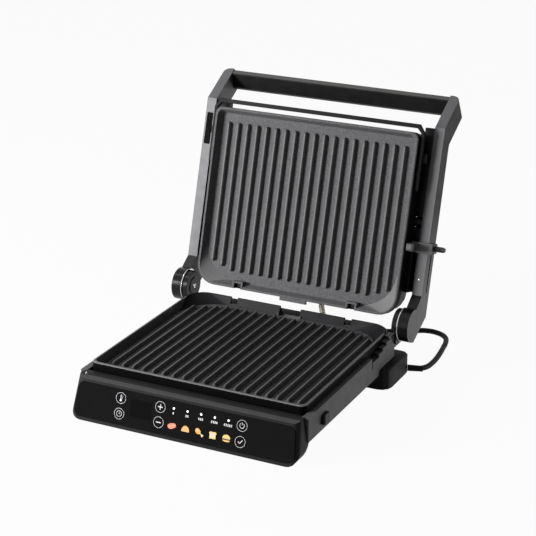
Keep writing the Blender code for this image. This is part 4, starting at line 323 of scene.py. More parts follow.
@dataclass(frozen=True)
class Finishes:
    """The finishes of the grill, named for where they are used."""

    plate_coating: Finish = Finish(
        "plate_coating", (0.108, 0.108, 0.112), 0.5, specular=0.06, grain=Grain.SPECKLED,
        grain_size=1.5 * MM, grain_depth=0.09 * MM, mottle=0.4)
    # Near-black skirts of the plates: painted shade under the rims, on the same coating.
    plate_skirt_painted_shade: Finish = Finish(
        "plate_skirt_painted_shade", (0.003, 0.003, 0.0033), 0.45, specular=0.03, grain=Grain.SPRAYED, grain_depth=0.01 * MM)
    # Dark rear ramp of the lower plate: painted shade on the same coating.
    plate_ramp_painted_shade: Finish = Finish(
        "plate_ramp_painted_shade", (0.011, 0.011, 0.0125), 0.35, specular=0.08, grain=Grain.SPECKLED,
        grain_size=1.1 * MM, grain_depth=0.03 * MM, mottle=0.25)
    # Lighter rib tops and lower rim top: painted highlight on the same coating.
    plate_ridge_highlight: Finish = Finish(
        "plate_ridge_highlight", (0.165, 0.165, 0.168), 0.42, specular=0.1, grain=Grain.SPECKLED,
        grain_size=1.1 * MM, grain_depth=0.03 * MM, mottle=0.12)
    frame_paint: Finish = Finish(
        "frame_paint", (0.11, 0.107, 0.107), 0.45, specular=0.08, grain=Grain.SPRAYED, grain_size=0.9 * MM,
        grain_depth=0.01 * MM)
    arm_paint: Finish = Finish(
        "arm_paint", (0.138, 0.135, 0.141), 0.42, metallic=0.1, specular=0.12, grain=Grain.SPRAYED,
        grain_size=0.8 * MM, grain_depth=0.008 * MM, mottle=0.05)
    # Outer sides of the arms: darker towards the hand, partly their own tone and partly painted shade.
    arm_side_tone_and_shade: Finish = Finish(
        "arm_side_tone_and_shade", (0.15, 0.147, 0.148), 0.42, specular=0.06, grain=Grain.SPRAYED,
        grain_size=0.8 * MM, grain_depth=0.008 * MM, mottle=0.05, fade=(0.09, 0.2, 0.08))
    # Glossy black of the drums, their own colour; it also covers the knuckles, where it is painted shade.
    drum_gloss_and_knuckle_shade: Finish = Finish(
        "drum_gloss_and_knuckle_shade", (0.006, 0.006, 0.007), 0.2, specular=0.15, grain=Grain.POLISHED, grain_depth=0.002 * MM)
    disc_line: Finish = Finish("disc_line", (0.03, 0.03, 0.031), 0.5, specular=0.2, grain=Grain.PRINTED)
    handle_paint: Finish = Finish(
        "handle_paint", (0.008, 0.0079, 0.0083), 0.42, specular=0.12, grain=Grain.SPRAYED, grain_depth=0.012 * MM)
    # Lighter top band of the handle: painted highlight.
    handle_band_highlight: Finish = Finish(
        "handle_band_highlight", (0.085, 0.082, 0.08), 0.4, specular=0.25, grain=Grain.SPRAYED, grain_depth=0.01 * MM)
    fascia_black: Finish = Finish(
        "fascia_black", (0.016, 0.0156, 0.016), 0.42, specular=0.06, grain=Grain.SPRAYED, grain_depth=0.008 * MM)
    # Paler brow of the fascia over the glass: painted highlight.
    fascia_brow_highlight: Finish = Finish(
        "fascia_brow_highlight", (0.05, 0.049, 0.05), 0.38, specular=0.15, grain=Grain.SPRAYED, grain_depth=0.008 * MM)
    housing_black: Finish = Finish(
        "housing_black", (0.026, 0.0255, 0.027), 0.5, specular=0.04, grain_depth=0.02 * MM)
    panel_glass: Finish = Finish(
        "panel_glass", (0.0055, 0.0055, 0.006), 0.12, specular=0.05, grain=Grain.POLISHED,
        grain_depth=0.0005 * MM, roughness_spread=0.03)
    display_glass: Finish = Finish(
        "display_glass", (0.003, 0.003, 0.0035), 0.1, specular=0.05, grain=Grain.POLISHED,
        grain_depth=0.0005 * MM, roughness_spread=0.03)
    window_glass: Finish = Finish(
        "window_glass", (0.002, 0.002, 0.0025), 0.12, specular=0.02, grain=Grain.POLISHED,
        grain_depth=0.0005 * MM, roughness_spread=0.02)
    step_black: Finish = Finish("step_black", (0.006, 0.006, 0.006), 0.5, specular=0.1)
    ear_black: Finish = Finish(
        "ear_black", (0.007, 0.007, 0.008), 0.25, specular=0.15, grain=Grain.POLISHED, grain_depth=0.002 * MM)
    button_black: Finish = Finish("button_black", (0.009, 0.009, 0.01), 0.4, specular=0.12)
    rail_paint: Finish = Finish(
        "rail_paint", (0.007, 0.007, 0.0075), 0.4, specular=0.06, grain=Grain.SPRAYED, grain_depth=0.01 * MM)
    cover_paint: Finish = Finish(
        "cover_paint", (0.01, 0.01, 0.011), 0.4, specular=0.08, grain=Grain.SPRAYED, grain_depth=0.012 * MM)
    catch_black: Finish = Finish("catch_black", (0.009, 0.009, 0.0095), 0.5, specular=0.12)
    slider_steel: Finish = Finish(
        "slider_steel", (0.085, 0.083, 0.082), 0.42, metallic=0.35, specular=0.2, grain=Grain.BRUSHED,
        grain_size=0.3 * MM, grain_depth=0.004 * MM, stretch=(0.05, 1, 1))
    pivot_black: Finish = Finish(
        "pivot_black", (0.02, 0.02, 0.02), 0.3, metallic=0.5, specular=0.2, grain=Grain.BRUSHED,
        grain_size=0.3 * MM, grain_depth=0.002 * MM, stretch=(0.1, 1, 1))
    pin_steel: Finish = Finish(
        "pin_steel", (0.5, 0.49, 0.48), 0.28, metallic=1.0, grain=Grain.BRUSHED, grain_size=0.3 * MM,
        grain_depth=0.003 * MM, stretch=(0.1, 1, 1))
    ring_chrome: Finish = Finish(
        "ring_chrome", (0.72, 0.72, 0.73), 0.08, metallic=1.0, grain=Grain.POLISHED, grain_depth=0.0005 * MM,
        mottle=0.02, roughness_spread=0.03)
    element_steel: Finish = Finish(
        "element_steel", (0.26, 0.23, 0.2), 0.42, metallic=0.9, grain=Grain.BRUSHED, mottle=0.25)
    reflector_alloy: Finish = Finish(
        "reflector_alloy", (0.62, 0.62, 0.62), 0.3, metallic=1.0, grain=Grain.BRUSHED, stretch=(1, 0.05, 1))
    ceramic_white: Finish = Finish("ceramic_white", (0.7, 0.69, 0.66), 0.35, grain_depth=0.01 * MM)
    board_green: Finish = Finish("board_green", (0.02, 0.11, 0.045), 0.38, coat=0.3, mottle=0.2)
    terminal_cream: Finish = Finish("terminal_cream", (0.66, 0.63, 0.54), 0.45)
    foot_rubber: Finish = Finish("foot_rubber", (0.012, 0.012, 0.012), 0.8, specular=0.1, grain_depth=0.04 * MM)
    cord_rubber: Finish = Finish(
        "cord_rubber", (0.012, 0.012, 0.0135), 0.5, specular=0.06, grain_size=0.5 * MM, grain_depth=0.02 * MM)
    pin_brass: Finish = Finish(
        "pin_brass", (0.6, 0.58, 0.52), 0.22, metallic=1.0, grain=Grain.BRUSHED, stretch=(0.1, 1, 1))
    braid_steel: Finish = Finish(
        "braid_steel", (0.72, 0.67, 0.58), 0.35, metallic=0.7, grain=Grain.BRUSHED, grain_size=0.3 * MM,
        grain_depth=0.004 * MM, mottle=0.2)
    lead_core: Finish = Finish("lead_core", (0.05, 0.042, 0.034), 0.6, specular=0.1)
    screw_steel: Finish = Finish(
        "screw_steel", (0.78, 0.77, 0.75), 0.22, metallic=1.0, grain=Grain.BRUSHED, grain_size=0.2 * MM,
        grain_depth=0.002 * MM)
    ink_white: Finish = Finish(
        "ink_white", (0.62, 0.62, 0.63), 0.5, specular=0.1, grain=Grain.PRINTED, grain_depth=0.001 * MM)
    ink_coral: Finish = Finish(
        "ink_coral", (0.83, 0.27, 0.16), 0.5, specular=0.1, grain=Grain.PRINTED, grain_depth=0.001 * MM)
    ink_amber: Finish = Finish(
        "ink_amber", (0.86, 0.43, 0.15), 0.5, specular=0.1, grain=Grain.PRINTED, grain_depth=0.001 * MM)
    ink_gold: Finish = Finish(
        "ink_gold", (0.86, 0.6, 0.2), 0.5, specular=0.1, grain=Grain.PRINTED, grain_depth=0.001 * MM)
    ink_cream: Finish = Finish(
        "ink_cream", (0.82, 0.68, 0.48), 0.5, specular=0.1, grain=Grain.PRINTED, grain_depth=0.001 * MM)
    ink_brown: Finish = Finish(
        "ink_brown", (0.22, 0.075, 0.03), 0.5, specular=0.1, grain=Grain.PRINTED, grain_depth=0.001 * MM)
    lamp_dot: Finish = Finish(
        "lamp_dot", (0.95, 0.96, 1.0), 0.3, specular=0.1, grain=Grain.PRINTED, mottle=0.02, glow=0.6)


FINISHES = Finishes()


@dataclass
class Bench:
    """The loaded frame and the shared ways of making and dressing pieces.

    Attributes:
        nodes: The CAD nodes by name.
        body_of: The body that each node rides on.
    """

    nodes: dict[str, bpy.types.Object]
    body_of: dict[str, str]

    @classmethod
    def load(cls) -> Bench:
        """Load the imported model.

        Returns:
            The bench with the model's nodes and their bodies.
        """
        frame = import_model()
        bodies = frame["record"]["behaviour"]["bodies"]
        body_of = {node: body for body, members in bodies.items() for node in members}
        return cls(frame["nodes"], body_of)

    def dress(self, node: str, finish: Finish) -> None:
        """Give a CAD node its finish.

        Args:
            node: The node's name.
            finish: The finish of all its faces.
        """
        mesh = self.nodes[node].data
        mesh.materials.clear()
        mesh.materials.append(finish.build())
        LOG.info("dressed %s in %s", node, finish.name)

    def piece(self, name: str, shape: bmesh.types.BMesh, finishes: Sequence[Finish], body: str,
              stands_for: Sequence[str] = (), sharp: float = 35 * DEG) -> bpy.types.Object:
        """Make a piece of a shape and put it on its body.

        Args:
            name: The piece's name.
            shape: The shape in world coordinates; it is freed.
            finishes: The finishes of the shape's material indices.
            body: The body that it rides on.
            stands_for: The CAD nodes that it replaces.
            sharp: Angle over which an edge is shaded sharp.

        Returns:
            The piece's object.
        """
        mesh = bpy.data.meshes.new(name)
        shape.to_mesh(mesh)
        shape.free()
        mesh.shade_smooth()
        mesh.set_sharp_from_angle(angle=sharp)
        for finish in finishes:
            mesh.materials.append(finish.build())
        made = bpy.data.objects.new(name, mesh)
        bpy.context.scene.collection.objects.link(made)
        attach(made, body)
        if stands_for:
            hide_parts(*stands_for)
        LOG.info("made %s on %s: %d faces", name, body, len(mesh.polygons))
        return made

    def softened(self, node: str, name: str, finishes: Sequence[Finish], edge: float, segments: int = 2,
                 limit: float = 28 * DEG, sort: Callable[[bmesh.types.BMFace], int] | None = None,
                 shape_first: Callable[[bmesh.types.BMesh], None] | None = None) -> bpy.types.Object:
        """Replace a CAD node by a copy whose edges are eased.

        Args:
            node: The node's name.
            name: The new piece's name.
            finishes: The finishes of the piece.
            edge: Width of the eased edges in metres.
            segments: Steps across an eased edge.
            limit: Angle over which an edge is eased.
            sort: Gives the material index of a face; all faces take the first finish without it.
            shape_first: Changes the merged copy before its edges are eased.

        Returns:
            The piece's object.
        """
        shape = bmesh.new()
        shape.from_mesh(self.nodes[node].data)
        bmesh.ops.remove_doubles(shape, verts=shape.verts, dist=0.005 * MM)
        flat = [e for e in shape.edges if len(e.link_faces) == 2 and e.calc_face_angle(0) < FLAT_ANGLE]
        bmesh.ops.dissolve_edges(shape, edges=flat, use_verts=False, use_face_split=False)
        if shape_first:
            shape_first(shape)
        bmesh.ops.triangulate(shape, faces=[f for f in shape.faces if len(f.verts) > 4],
                              quad_method="BEAUTY", ngon_method="BEAUTY")
        for face in shape.faces:
            face.material_index = sort(face) if sort else 0
        made = self.piece(name, shape, finishes, self.body_of[node], [node])
        bevel = made.modifiers.new("eased edges", "BEVEL")
        bevel.width = edge
        bevel.segments = segments
        bevel.limit_method = "ANGLE"
        bevel.angle_limit = limit
        bevel.miter_outer = "MITER_ARC"
        even = made.modifiers.new("even shading", "WEIGHTED_NORMAL")
        even.keep_sharp = True
        return made


@dataclass(frozen=True)
class Softbox:
    """A square lamp.

    Attributes:
        name: The lamp's name.
        place: Where it hangs.
        aim: The point that it faces.
        size: Length of its side in metres.
        power: Its power in watts.
    """

    name: str
    place: Point
    aim: Point
    size: float
    power: float

    def build(self) -> None:
        """Hang the lamp."""
        data = bpy.data.lights.new(self.name, "AREA")
        data.shape = "SQUARE"
        data.size = self.size
        data.energy = self.power
        made = bpy.data.objects.new(self.name, data)
        made.location = self.place
        made.rotation_mode = "QUATERNION"
        made.rotation_quaternion = (Vector(self.aim) - Vector(self.place)).to_track_quat("-Z", "Y")
        bpy.context.scene.collection.objects.link(made)


@dataclass
class Studio:
    """Camera, lamps, white surroundings and floor.

    Attributes:
        target: The point that the camera looks at.
        azimuth: Turn of the camera about the vertical from straight in front.
        elevation: Height angle of the camera.
        distance: Distance of the camera from its target.
        lens: Focal length in millimetres on the sensor.
        sensor: Width of the sensor in millimetres.
        floor_size: Side of the floor.
        ambient: Strength of the surroundings' light.
        floor_diffuse: Albedo of the floor.
        floor_white_share: Share of plain white in the floor that the camera sees.
        lamps: The key from the left front, the one overhead and the low one that lights the right side.
    """

    target: Vector = field(default_factory=lambda: Vector((0.07665, -0.17096, 0.2148)))
    azimuth: float = 26.40 * DEG
    elevation: float = 20.961 * DEG
    distance: float = 1.9329
    lens: float = 113.95
    sensor: float = 36.0
    floor_size: float = 30.0
    ambient: float = 0.022
    floor_diffuse: float = 0.6
    floor_white_share: float = 0.955
    lamps: tuple[Softbox, ...] = (
        Softbox("key_softbox", (-1.55, -1.5, 0.72), (0, -0.05, 0.15), 0.75, 82),
        Softbox("top_softbox", (-0.9, -0.2, 1.9), (0, -0.05, 0.15), 0.35, 5),
        Softbox("low_fill", (0.75, 0.45, 0.035), (0.17, 0, 0.05), 0.1, 2.9),
    )

    def build(self) -> None:
        """Set up everything that isn't part of the grill."""
        scene = bpy.context.scene
        scene.view_settings.view_transform = "Standard"
        self._camera(scene)
        self._world(scene)
        self._floor()
        for lamp in self.lamps:
            lamp.build()
        LOG.info("studio ready")

    def _camera(self, scene: bpy.types.Scene) -> None:
        """Put the camera at the photograph's place.

        Args:
            scene: The scene that takes the camera.
        """
        flat = math.cos(self.elevation)
        back = Vector((math.sin(self.azimuth) * flat, -math.cos(self.azimuth) * flat, math.sin(self.elevation)))
        data = bpy.data.cameras.new("photo_camera")
        data.lens = self.lens
        data.sensor_width = self.sensor
        made = bpy.data.objects.new("photo_camera", data)
        made.location = self.target + back * self.distance
        made.rotation_mode = "QUATERNION"
        made.rotation_quaternion = (-back).to_track_quat("-Z", "Y")
        scene.collection.objects.link(made)
        scene.camera = made

    def _seen_white(self, tree: bpy.types.NodeTree) -> bpy.types.NodeSocket:
        """Return a factor that is one for camera, glossy and transmission rays.

        Args:
            tree: The node tree that takes the nodes.

        Returns:
            The socket of the factor.
        """
        path = tree.nodes.new("ShaderNodeLightPath")
        total = path.outputs["Is Camera Ray"]
        for name in ("Is Glossy Ray", "Is Transmission Ray"):
            add = tree.nodes.new("ShaderNodeMath")
            add.operation = "ADD"
            add.use_clamp = True
            tree.links.new(total, add.inputs[0])
            tree.links.new(path.outputs[name], add.inputs[1])
            total = add.outputs[0]
        return total

    def _world(self, scene: bpy.types.Scene) -> None:
        """Surround the grill with white for the eye and a plain grey for its light.

        Args:
            scene: The scene that takes the world.
        """
        world = bpy.data.worlds.new("studio_white")
        world.use_nodes = True
        tree = world.node_tree
        plain = tree.nodes["Background"]
        plain.inputs["Color"].default_value = (1, 1, 1, 1)
        plain.inputs["Strength"].default_value = self.ambient
        white = tree.nodes.new("ShaderNodeBackground")
        white.inputs["Color"].default_value = (1, 1, 1, 1)
        white.inputs["Strength"].default_value = 1.0
        mix = tree.nodes.new("ShaderNodeMixShader")
        tree.links.new(self._seen_white(tree), mix.inputs["Fac"])
        tree.links.new(plain.outputs["Background"], mix.inputs[1])
        tree.links.new(white.outputs["Background"], mix.inputs[2])
        tree.links.new(mix.outputs["Shader"], tree.nodes["World Output"].inputs["Surface"])
        scene.world = world

    def _floor(self) -> None:
        """Lay a pale floor that keeps the grill's shadow and fades into the white."""
        shape = bmesh.new()
        bmesh.ops.create_grid(shape, x_segments=1, y_segments=1, size=self.floor_size / 2)
        mesh = bpy.data.meshes.new("floor")
        shape.to_mesh(mesh)
        shape.free()
        made = bpy.data.objects.new("floor", mesh)
        bpy.context.scene.collection.objects.link(made)
        material = bpy.data.materials.new("pale_floor")
        material.use_nodes = True
        tree = material.node_tree
        tree.nodes.remove(tree.nodes["Principled BSDF"])
        matt = tree.nodes.new("ShaderNodeBsdfDiffuse")
        matt.inputs["Color"].default_value = (self.floor_diffuse, self.floor_diffuse, self.floor_diffuse, 1)
        white = tree.nodes.new("ShaderNodeEmission")
        white.inputs["Strength"].default_value = 1.0
        share = tree.nodes.new("ShaderNodeMath")
        share.operation = "MULTIPLY"
        share.inputs[1].default_value = self.floor_white_share
        tree.links.new(self._seen_white(tree), share.inputs[0])
        mix = tree.nodes.new("ShaderNodeMixShader")
        tree.links.new(share.outputs[0], mix.inputs["Fac"])
        tree.links.new(matt.outputs["BSDF"], mix.inputs[1])
        tree.links.new(white.outputs["Emission"], mix.inputs[2])
        tree.links.new(mix.outputs["Shader"], tree.nodes["Material Output"].inputs["Surface"])
        mesh.materials.append(material)


@dataclass
class MainsLead:
    """The mains cord with its coil, its relief, its gland and its plug.

    Attributes:
        diameter: Diameter of the cord.
        corner: Centre of the housing's rounded corner where the cord leaves, at the cord's height.
        heading: Direction in plan in which it leaves, from +X to +Y.
        bore_end: Distance from the corner's centre to the gland's mouth.
        straight: Length of the straight run at each end.
        route: Places that the free run passes on its way to the coil.
        coil_centre: Centre of the coil on its floor layer.
        coil_radius: Radius of the outermost turn's centre line.
        coil_pitch: Distance between turns of one layer.
        coil_layer: Distance between the two layers.
        coil_turns: Turns in all.
        loop_points: Points in a turn.
        climb_turns: Share of a turn in which the cord climbs to the upper layer.
        plug_mouth: Where the cord enters the plug.
        tail_steps: Steps along the bend from the coil to the plug.
        overlap: How far the cord reaches into the plug.
        relief_length: Length of the tapered relief at the housing.
        relief_radius: Radius of the relief at its root.
        relief_grooves: Grooves round the relief.
        relief_rounds: Corners of the relief.
        relief_bend: Turn in plan from its root to its tip.
        relief_droop: Fall of its tip over its length.
        relief_wall: Thickness of its tip round the cord.
        groove_depth: Depth of the groove at its root.
    """

    diameter: float = 7 * MM
    corner: Vector = field(default_factory=lambda: on_base(157 * MM, 242 * MM, 7 * MM))
    heading: float = 20 * DEG
    bore_end: float = 8.3 * MM
    straight: float = 7 * MM
    route: tuple[Point, ...] = (
        (178.6, 254.4, 5.2), (183.6, 265.0, 4.0), (185.2, 279.0, 3.7), (184.9, 297.0, 3.7), (183.0, 315.0, 3.7),
        (180.3, 333.0, 3.7), (177.2, 350.3, 3.7), (170.2, 366.0, 3.7), (156.0, 375.6, 3.7), (139.0, 376.2, 3.7),
        (126.0, 369.8, 3.7), (112.5, 360.6, 3.7), (97.5, 352.4, 3.7), (79.5, 346.6, 3.7), (60.0, 343.4, 3.7),
        (38.0, 341.9, 3.7),
    )
    coil_centre: Vector = field(default_factory=lambda: on_base(-8 * MM, 303 * MM, 3.7 * MM))
    coil_radius: float = 38.5 * MM
    coil_pitch: float = 7.6 * MM
    coil_layer: float = 7.6 * MM
    coil_turns: float = 3.5
    loop_points: int = 24
    climb_turns: float = 0.5
    plug_mouth: Vector = field(default_factory=lambda: on_base(43 * MM, 277 * MM, 18 * MM))
    tail_steps: int = 6
    overlap: float = 0.5 * MM
    relief_length: float = 20 * MM
    relief_radius: float = 4.4 * MM
    relief_grooves: int = 5
    relief_rounds: int = 24
    relief_bend: float = 14 * DEG
    relief_droop: float = 0.12
    relief_wall: float = 0.25 * MM
    groove_depth: float = 0.35 * MM

    def build(self, bench: Bench) -> None:
        """Lay the cord, slip its relief on and dress its gland and its plug.

        Args:
            bench: The bench.
        """
        points = self._line()
        curve = bpy.data.curves.new("mains_lead", "CURVE")
        curve.dimensions = "3D"
        curve.bevel_depth = self.diameter / 2
        curve.bevel_resolution = 5
        curve.resolution_u = 5
        curve.use_fill_caps = True
        spline = curve.splines.new("BEZIER")
        spline.bezier_points.add(len(points) - 1)
        for knot, point in zip(spline.bezier_points, points):
            knot.co = point
            knot.handle_left_type = "AUTO"
            knot.handle_right_type = "AUTO"
        curve.materials.append(FINISHES.cord_rubber.build())
        lead = bpy.data.objects.new("mains_lead", curve)
        bpy.context.scene.collection.objects.link(lead)
        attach(lead, "base")
        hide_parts("mains_cord", "cord_coil", "cord_tail")
        relief = self._relief(bench, points[0])
        gland = bench.softened("cord_gland", "cord_bush", [FINISHES.cord_rubber], 0.3 * MM)
        plug = bench.softened("plug_body", "plug_moulding", [FINISHES.cord_rubber], 0.6 * MM, limit=20 * DEG)
        for end in ("front", "rear"):
            bench.dress("plug_pin_" + end, FINISHES.pin_brass)
        LOG.info("laid %s: %d points", lead.name, len(points))

    def _line(self) -> list[Vector]:
        """Lay out the whole cord, from the gland to the plug.

        Returns:
            The points of its centre line.
        """
        out = Vector((math.cos(self.heading), math.sin(self.heading), 0))
        start = self.corner + out * self.bore_end
        free = [start, start + out * self.straight]
        free += [on_base(*(Vector(place) * MM)) for place in self.route]
        coil = self._coil()
        along = Vector((self.straight, 0, 0))
        free.append(coil[0] + 2 * along)
        loops = [coil[0] + along, *coil, coil[-1] + along]
        first = coil[-1] + 1.5 * along
        last = self.plug_mouth - 0.5 * along
        reach = Vector(((last.x - first.x) / 2, 0, 0))
        bend = [bezier(first, first + reach, last - reach, last, k / self.tail_steps)
                for k in range(self.tail_steps + 1)]
        return [*free, *loops, *bend, self.plug_mouth + Vector((self.overlap, 0, 0))]

    def _coil(self) -> list[Vector]:
        """Lay out the coil, which winds in on the floor layer and out on the upper one.

        Returns:
            The points of its centre line.
        """
        count = round(self.coil_turns * self.loop_points)
        middle = self.coil_turns / 2
        points = []
        for k in range(count + 1):
            turn = self.coil_turns * k / count
            radius = self.coil_radius - self.coil_pitch * (middle - abs(turn - middle))
            climb = min(max((turn - middle) / self.climb_turns + 0.5, 0), 1)
            rise = self.coil_layer * climb * climb * (3 - 2 * climb)
            angle = math.tau * (turn + 0.25)
            points.append(self.coil_centre + Vector((radius * math.cos(angle), radius * math.sin(angle), rise)))
        return points

    def _relief(self, bench: Bench, mouth: Vector) -> bpy.types.Object:
        """Make the tapered, grooved relief at the housing.

        Args:
            bench: The bench.
            mouth: Where the cord leaves the housing.

        Returns:
            The relief's object.
        """
        shape = bmesh.new()
        out = Vector((math.cos(self.heading), math.sin(self.heading), 0))
        edge = bmesh.ops.create_circle(shape, segments=self.relief_rounds, radius=self.relief_radius)["verts"]
        turn = out.to_track_quat("Z", "Y").to_matrix().to_4x4()
        bmesh.ops.transform(shape, verts=edge, matrix=Matrix.Translation(mouth) @ turn)
        loop = list({e for v in edge for e in v.link_edges})
        first = list(loop)
        centre = mouth
        radius = self.relief_radius
        for k in range(1, 2 * self.relief_grooves + 1):
            share = k / (2 * self.relief_grooves)
            grown = bmesh.ops.extrude_edge_only(shape, edges=loop)["geom"]
            verts = [g for g in grown if isinstance(g, bmesh.types.BMVert)]
            loop = [g for g in grown if isinstance(g, bmesh.types.BMEdge)
                    and all(v in verts for v in g.verts)]
            bend = self.heading + share * share * self.relief_bend
            step = Vector((math.cos(bend), math.sin(bend), -self.relief_droop * share)) * self.relief_length / (
                2 * self.relief_grooves)
            bmesh.ops.translate(shape, verts=verts, vec=step)
            centre = centre + step
            goal = self.relief_radius + share * (self.diameter / 2 + self.relief_wall - self.relief_radius)
            goal -= self.groove_depth * (k % 2) * (1 - share)
            bmesh.ops.scale(shape, verts=verts, vec=Vector((goal / radius,) * 3),
                            space=Matrix.Translation(-centre))
            radius = goal
        bmesh.ops.holes_fill(shape, edges=first + loop, sides=0)
        bmesh.ops.recalc_face_normals(shape, faces=shape.faces)
        return bench.piece("cord_relief", shape, [FINISHES.cord_rubber], "base")


def bezier(a: Vector, b: Vector, c: Vector, d: Vector, t: float) -> Vector:
    """Return a point of a cubic curve.

    Args:
        a: Start.
        b: First handle.
        c: Second handle.
        d: End.
        t: Share of the way.

    Returns:
        The point.
    """
    return (1 - t) ** 3 * a + 3 * (1 - t) ** 2 * t * b + 3 * (1 - t) * t**2 * c + t**3 * d


def rounded_box(across: tuple[float, float], along: tuple[float, float], rise: tuple[float, float],
                edge: float) -> bmesh.types.BMesh:
    """Return a box with eased edges.

    Args:
        across: Lowest and highest X.
        along: Lowest and highest Y.
        rise: Lowest and highest Z.
        edge: Width of its eased edges.

    Returns:
        The box as a new shape.
    """
    shape = bmesh.new()
    bmesh.ops.create_cube(shape, size=1)
    size = Vector((across[1] - across[0], along[1] - along[0], rise[1] - rise[0]))
    middle = Vector((sum(across), sum(along), sum(rise))) / 2
    bmesh.ops.scale(shape, verts=shape.verts, vec=size)
    bmesh.ops.translate(shape, verts=shape.verts, vec=middle)
    bmesh.ops.bevel(shape, geom=list(shape.edges), offset=edge, offset_type="OFFSET", segments=2, profile=0.5,
                    affect="EDGES", material=-1)
    return shape


def prism(outline: Sequence[tuple[float, float]], across: tuple[float, float], edge: float) -> bmesh.types.BMesh:
    """Return a body whose outline in Y and Z runs along X.

    Args:
        outline: Corners in Y and Z, in order round the body.
        across: Lowest and highest X.
        edge: Width of its eased edges.

    Returns:
        The body as a new shape.
    """
    shape = bmesh.new()
    end = shape.faces.new([shape.verts.new((across[0], y, z)) for y, z in outline])
    grown = bmesh.ops.extrude_face_region(shape, geom=[end])["geom"]
    verts = [g for g in grown if isinstance(g, bmesh.types.BMVert)]
    bmesh.ops.translate(shape, verts=verts, vec=(across[1] - across[0], 0, 0))
    bmesh.ops.recalc_face_normals(shape, faces=shape.faces)
    bmesh.ops.bevel(shape, geom=list(shape.edges), offset=edge, offset_type="OFFSET", segments=2, profile=0.5,
                    affect="EDGES", material=-1)
    return shape


@dataclass
class BraidedLead:
    """The armoured lead between the head and the base, as a braided sleeve on a core.

    Attributes:
        x_head: Place of its head end across the grill.
        height_head: Height of its head end from the food.
        reach_head: Reach of its head end.
        x_base: Place of its base end across the grill.
        rear: Rear wall that it enters.
        height_base: Height at which it enters.
        straight: Length of its straight ends.
        pull: Length of the handles that shape its bend.
        core_radius: Radius of the core.
        braid_radius: Mean radius of the strands' centre lines.
        strand_radius: Radius of a strand.
        weave: How far a strand goes in and out.
        strands: Strands in each sense.
        turns: Turns of a strand over the length.
        steps: Steps along the bend.
    """

    x_head: float = 31 * MM
    height_head: float = 24 * MM
    reach_head: float = 9.7 * MM
    x_base: float = 55 * MM
    rear: float = 227.3 * MM
    height_base: float = 36 * MM
    straight: float = 5 * MM
    pull: float = 14 * MM
    core_radius: float = 3.1 * MM
    braid_radius: float = 3.45 * MM
    strand_radius: float = 0.36 * MM
    weave: float = 0.18 * MM
    strands: int = 7
    turns: float = 3.5
    steps: int = 150

    def build(self, bench: Bench) -> None:
        """Weave the sleeve round its core.

        Args:
            bench: The bench; not used.
        """
        line = self._line()
        core = self._tube("lead_core", [line], self.core_radius, 3, FINISHES.lead_core)
        paths = [self._strand(line, way, i) for way in (1, -1) for i in range(self.strands)]
        sleeve = self._tube("braided_sleeve", paths, self.strand_radius, 1, FINISHES.braid_steel)
        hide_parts("braided_conduit")
        for made in (core, sleeve):
            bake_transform(made)
        LOG.info("wove %s: %d strands", sleeve.name, len(paths))

    def _line(self) -> list[Vector]:
        """Lay out the lead, from the head to the base.

        Returns:
            The points of its centre line.
        """
        start = on_lid(self.x_head, self.reach_head, self.height_head)
        after = on_lid(self.x_head, self.reach_head - self.straight, self.height_head)
        end = on_base(self.x_base, self.rear, self.height_base)
        before = end + Vector((0, self.straight, 0))
        share = self.pull / self.straight
        bent = [bezier(after, after + share * (after - start), before + share * (before - end), before,
                       k / self.steps) for k in range(self.steps + 1)]
        return [start, *bent, end]

    def _strand(self, line: Sequence[Vector], way: int, index: int) -> list[Vector]:
        """Return the line of one strand of the braid.

        Args:
            line: The centre line of the lead.
            way: 1 or -1, the sense in which it winds.
            index: Which strand of its sense.

        Returns:
            The strand's points.
        """
        lengths = [0.0]
        for p, q in zip(line, line[1:]):
            lengths.append(lengths[-1] + (q - p).length)
        points = []
        side = Vector((1, 0, 0))
        for i, place in enumerate(line):
            along = (line[min(i + 1, len(line) - 1)] - line[max(i - 1, 0)]).normalized()
            side = (side - side.dot(along) * along).normalized()
            across = along.cross(side)
            wound = math.tau * self.turns * lengths[i] / lengths[-1]
            angle = math.tau * index / self.strands + way * wound
            radius = self.braid_radius + way * self.weave * math.cos(self.strands * wound)
            points.append(place + radius * (math.cos(angle) * side + math.sin(angle) * across))
        return points

    def _tube(self, name: str, lines: Sequence[Sequence[Vector]], radius: float, resolution: int,
              finish: Finish) -> bpy.types.Object:
        """Return round tubes along lines as one mesh.

        Args:
            name: The piece's name.
            lines: The lines.
            radius: The tubes' radius.
            resolution: Fineness round a tube.
            finish: The tubes' finish.

        Returns:
            The mesh object, with no parent.
        """
        curve = bpy.data.curves.new(name, "CURVE")
        curve.dimensions = "3D"
        curve.bevel_depth = radius
        curve.bevel_resolution = resolution
        curve.use_fill_caps = True
        for line in lines:
            spline = curve.splines.new("POLY")
            spline.points.add(len(line) - 1)
            for knot, point in zip(spline.points, line):
                knot.co = (*point, 1)
            spline.use_smooth = True
        pattern = bpy.data.objects.new(name + "_line", curve)
        bpy.context.scene.collection.objects.link(pattern)
        graph = bpy.context.evaluated_depsgraph_get()
        mesh = bpy.data.meshes.new_from_object(pattern.evaluated_get(graph))
        bpy.data.objects.remove(pattern, do_unlink=True)
        mesh.name = name
        mesh.shade_smooth()
        mesh.materials.clear()
        mesh.materials.append(finish.build())
        made = bpy.data.objects.new(name, mesh)
        bpy.context.scene.collection.objects.link(made)
        return made


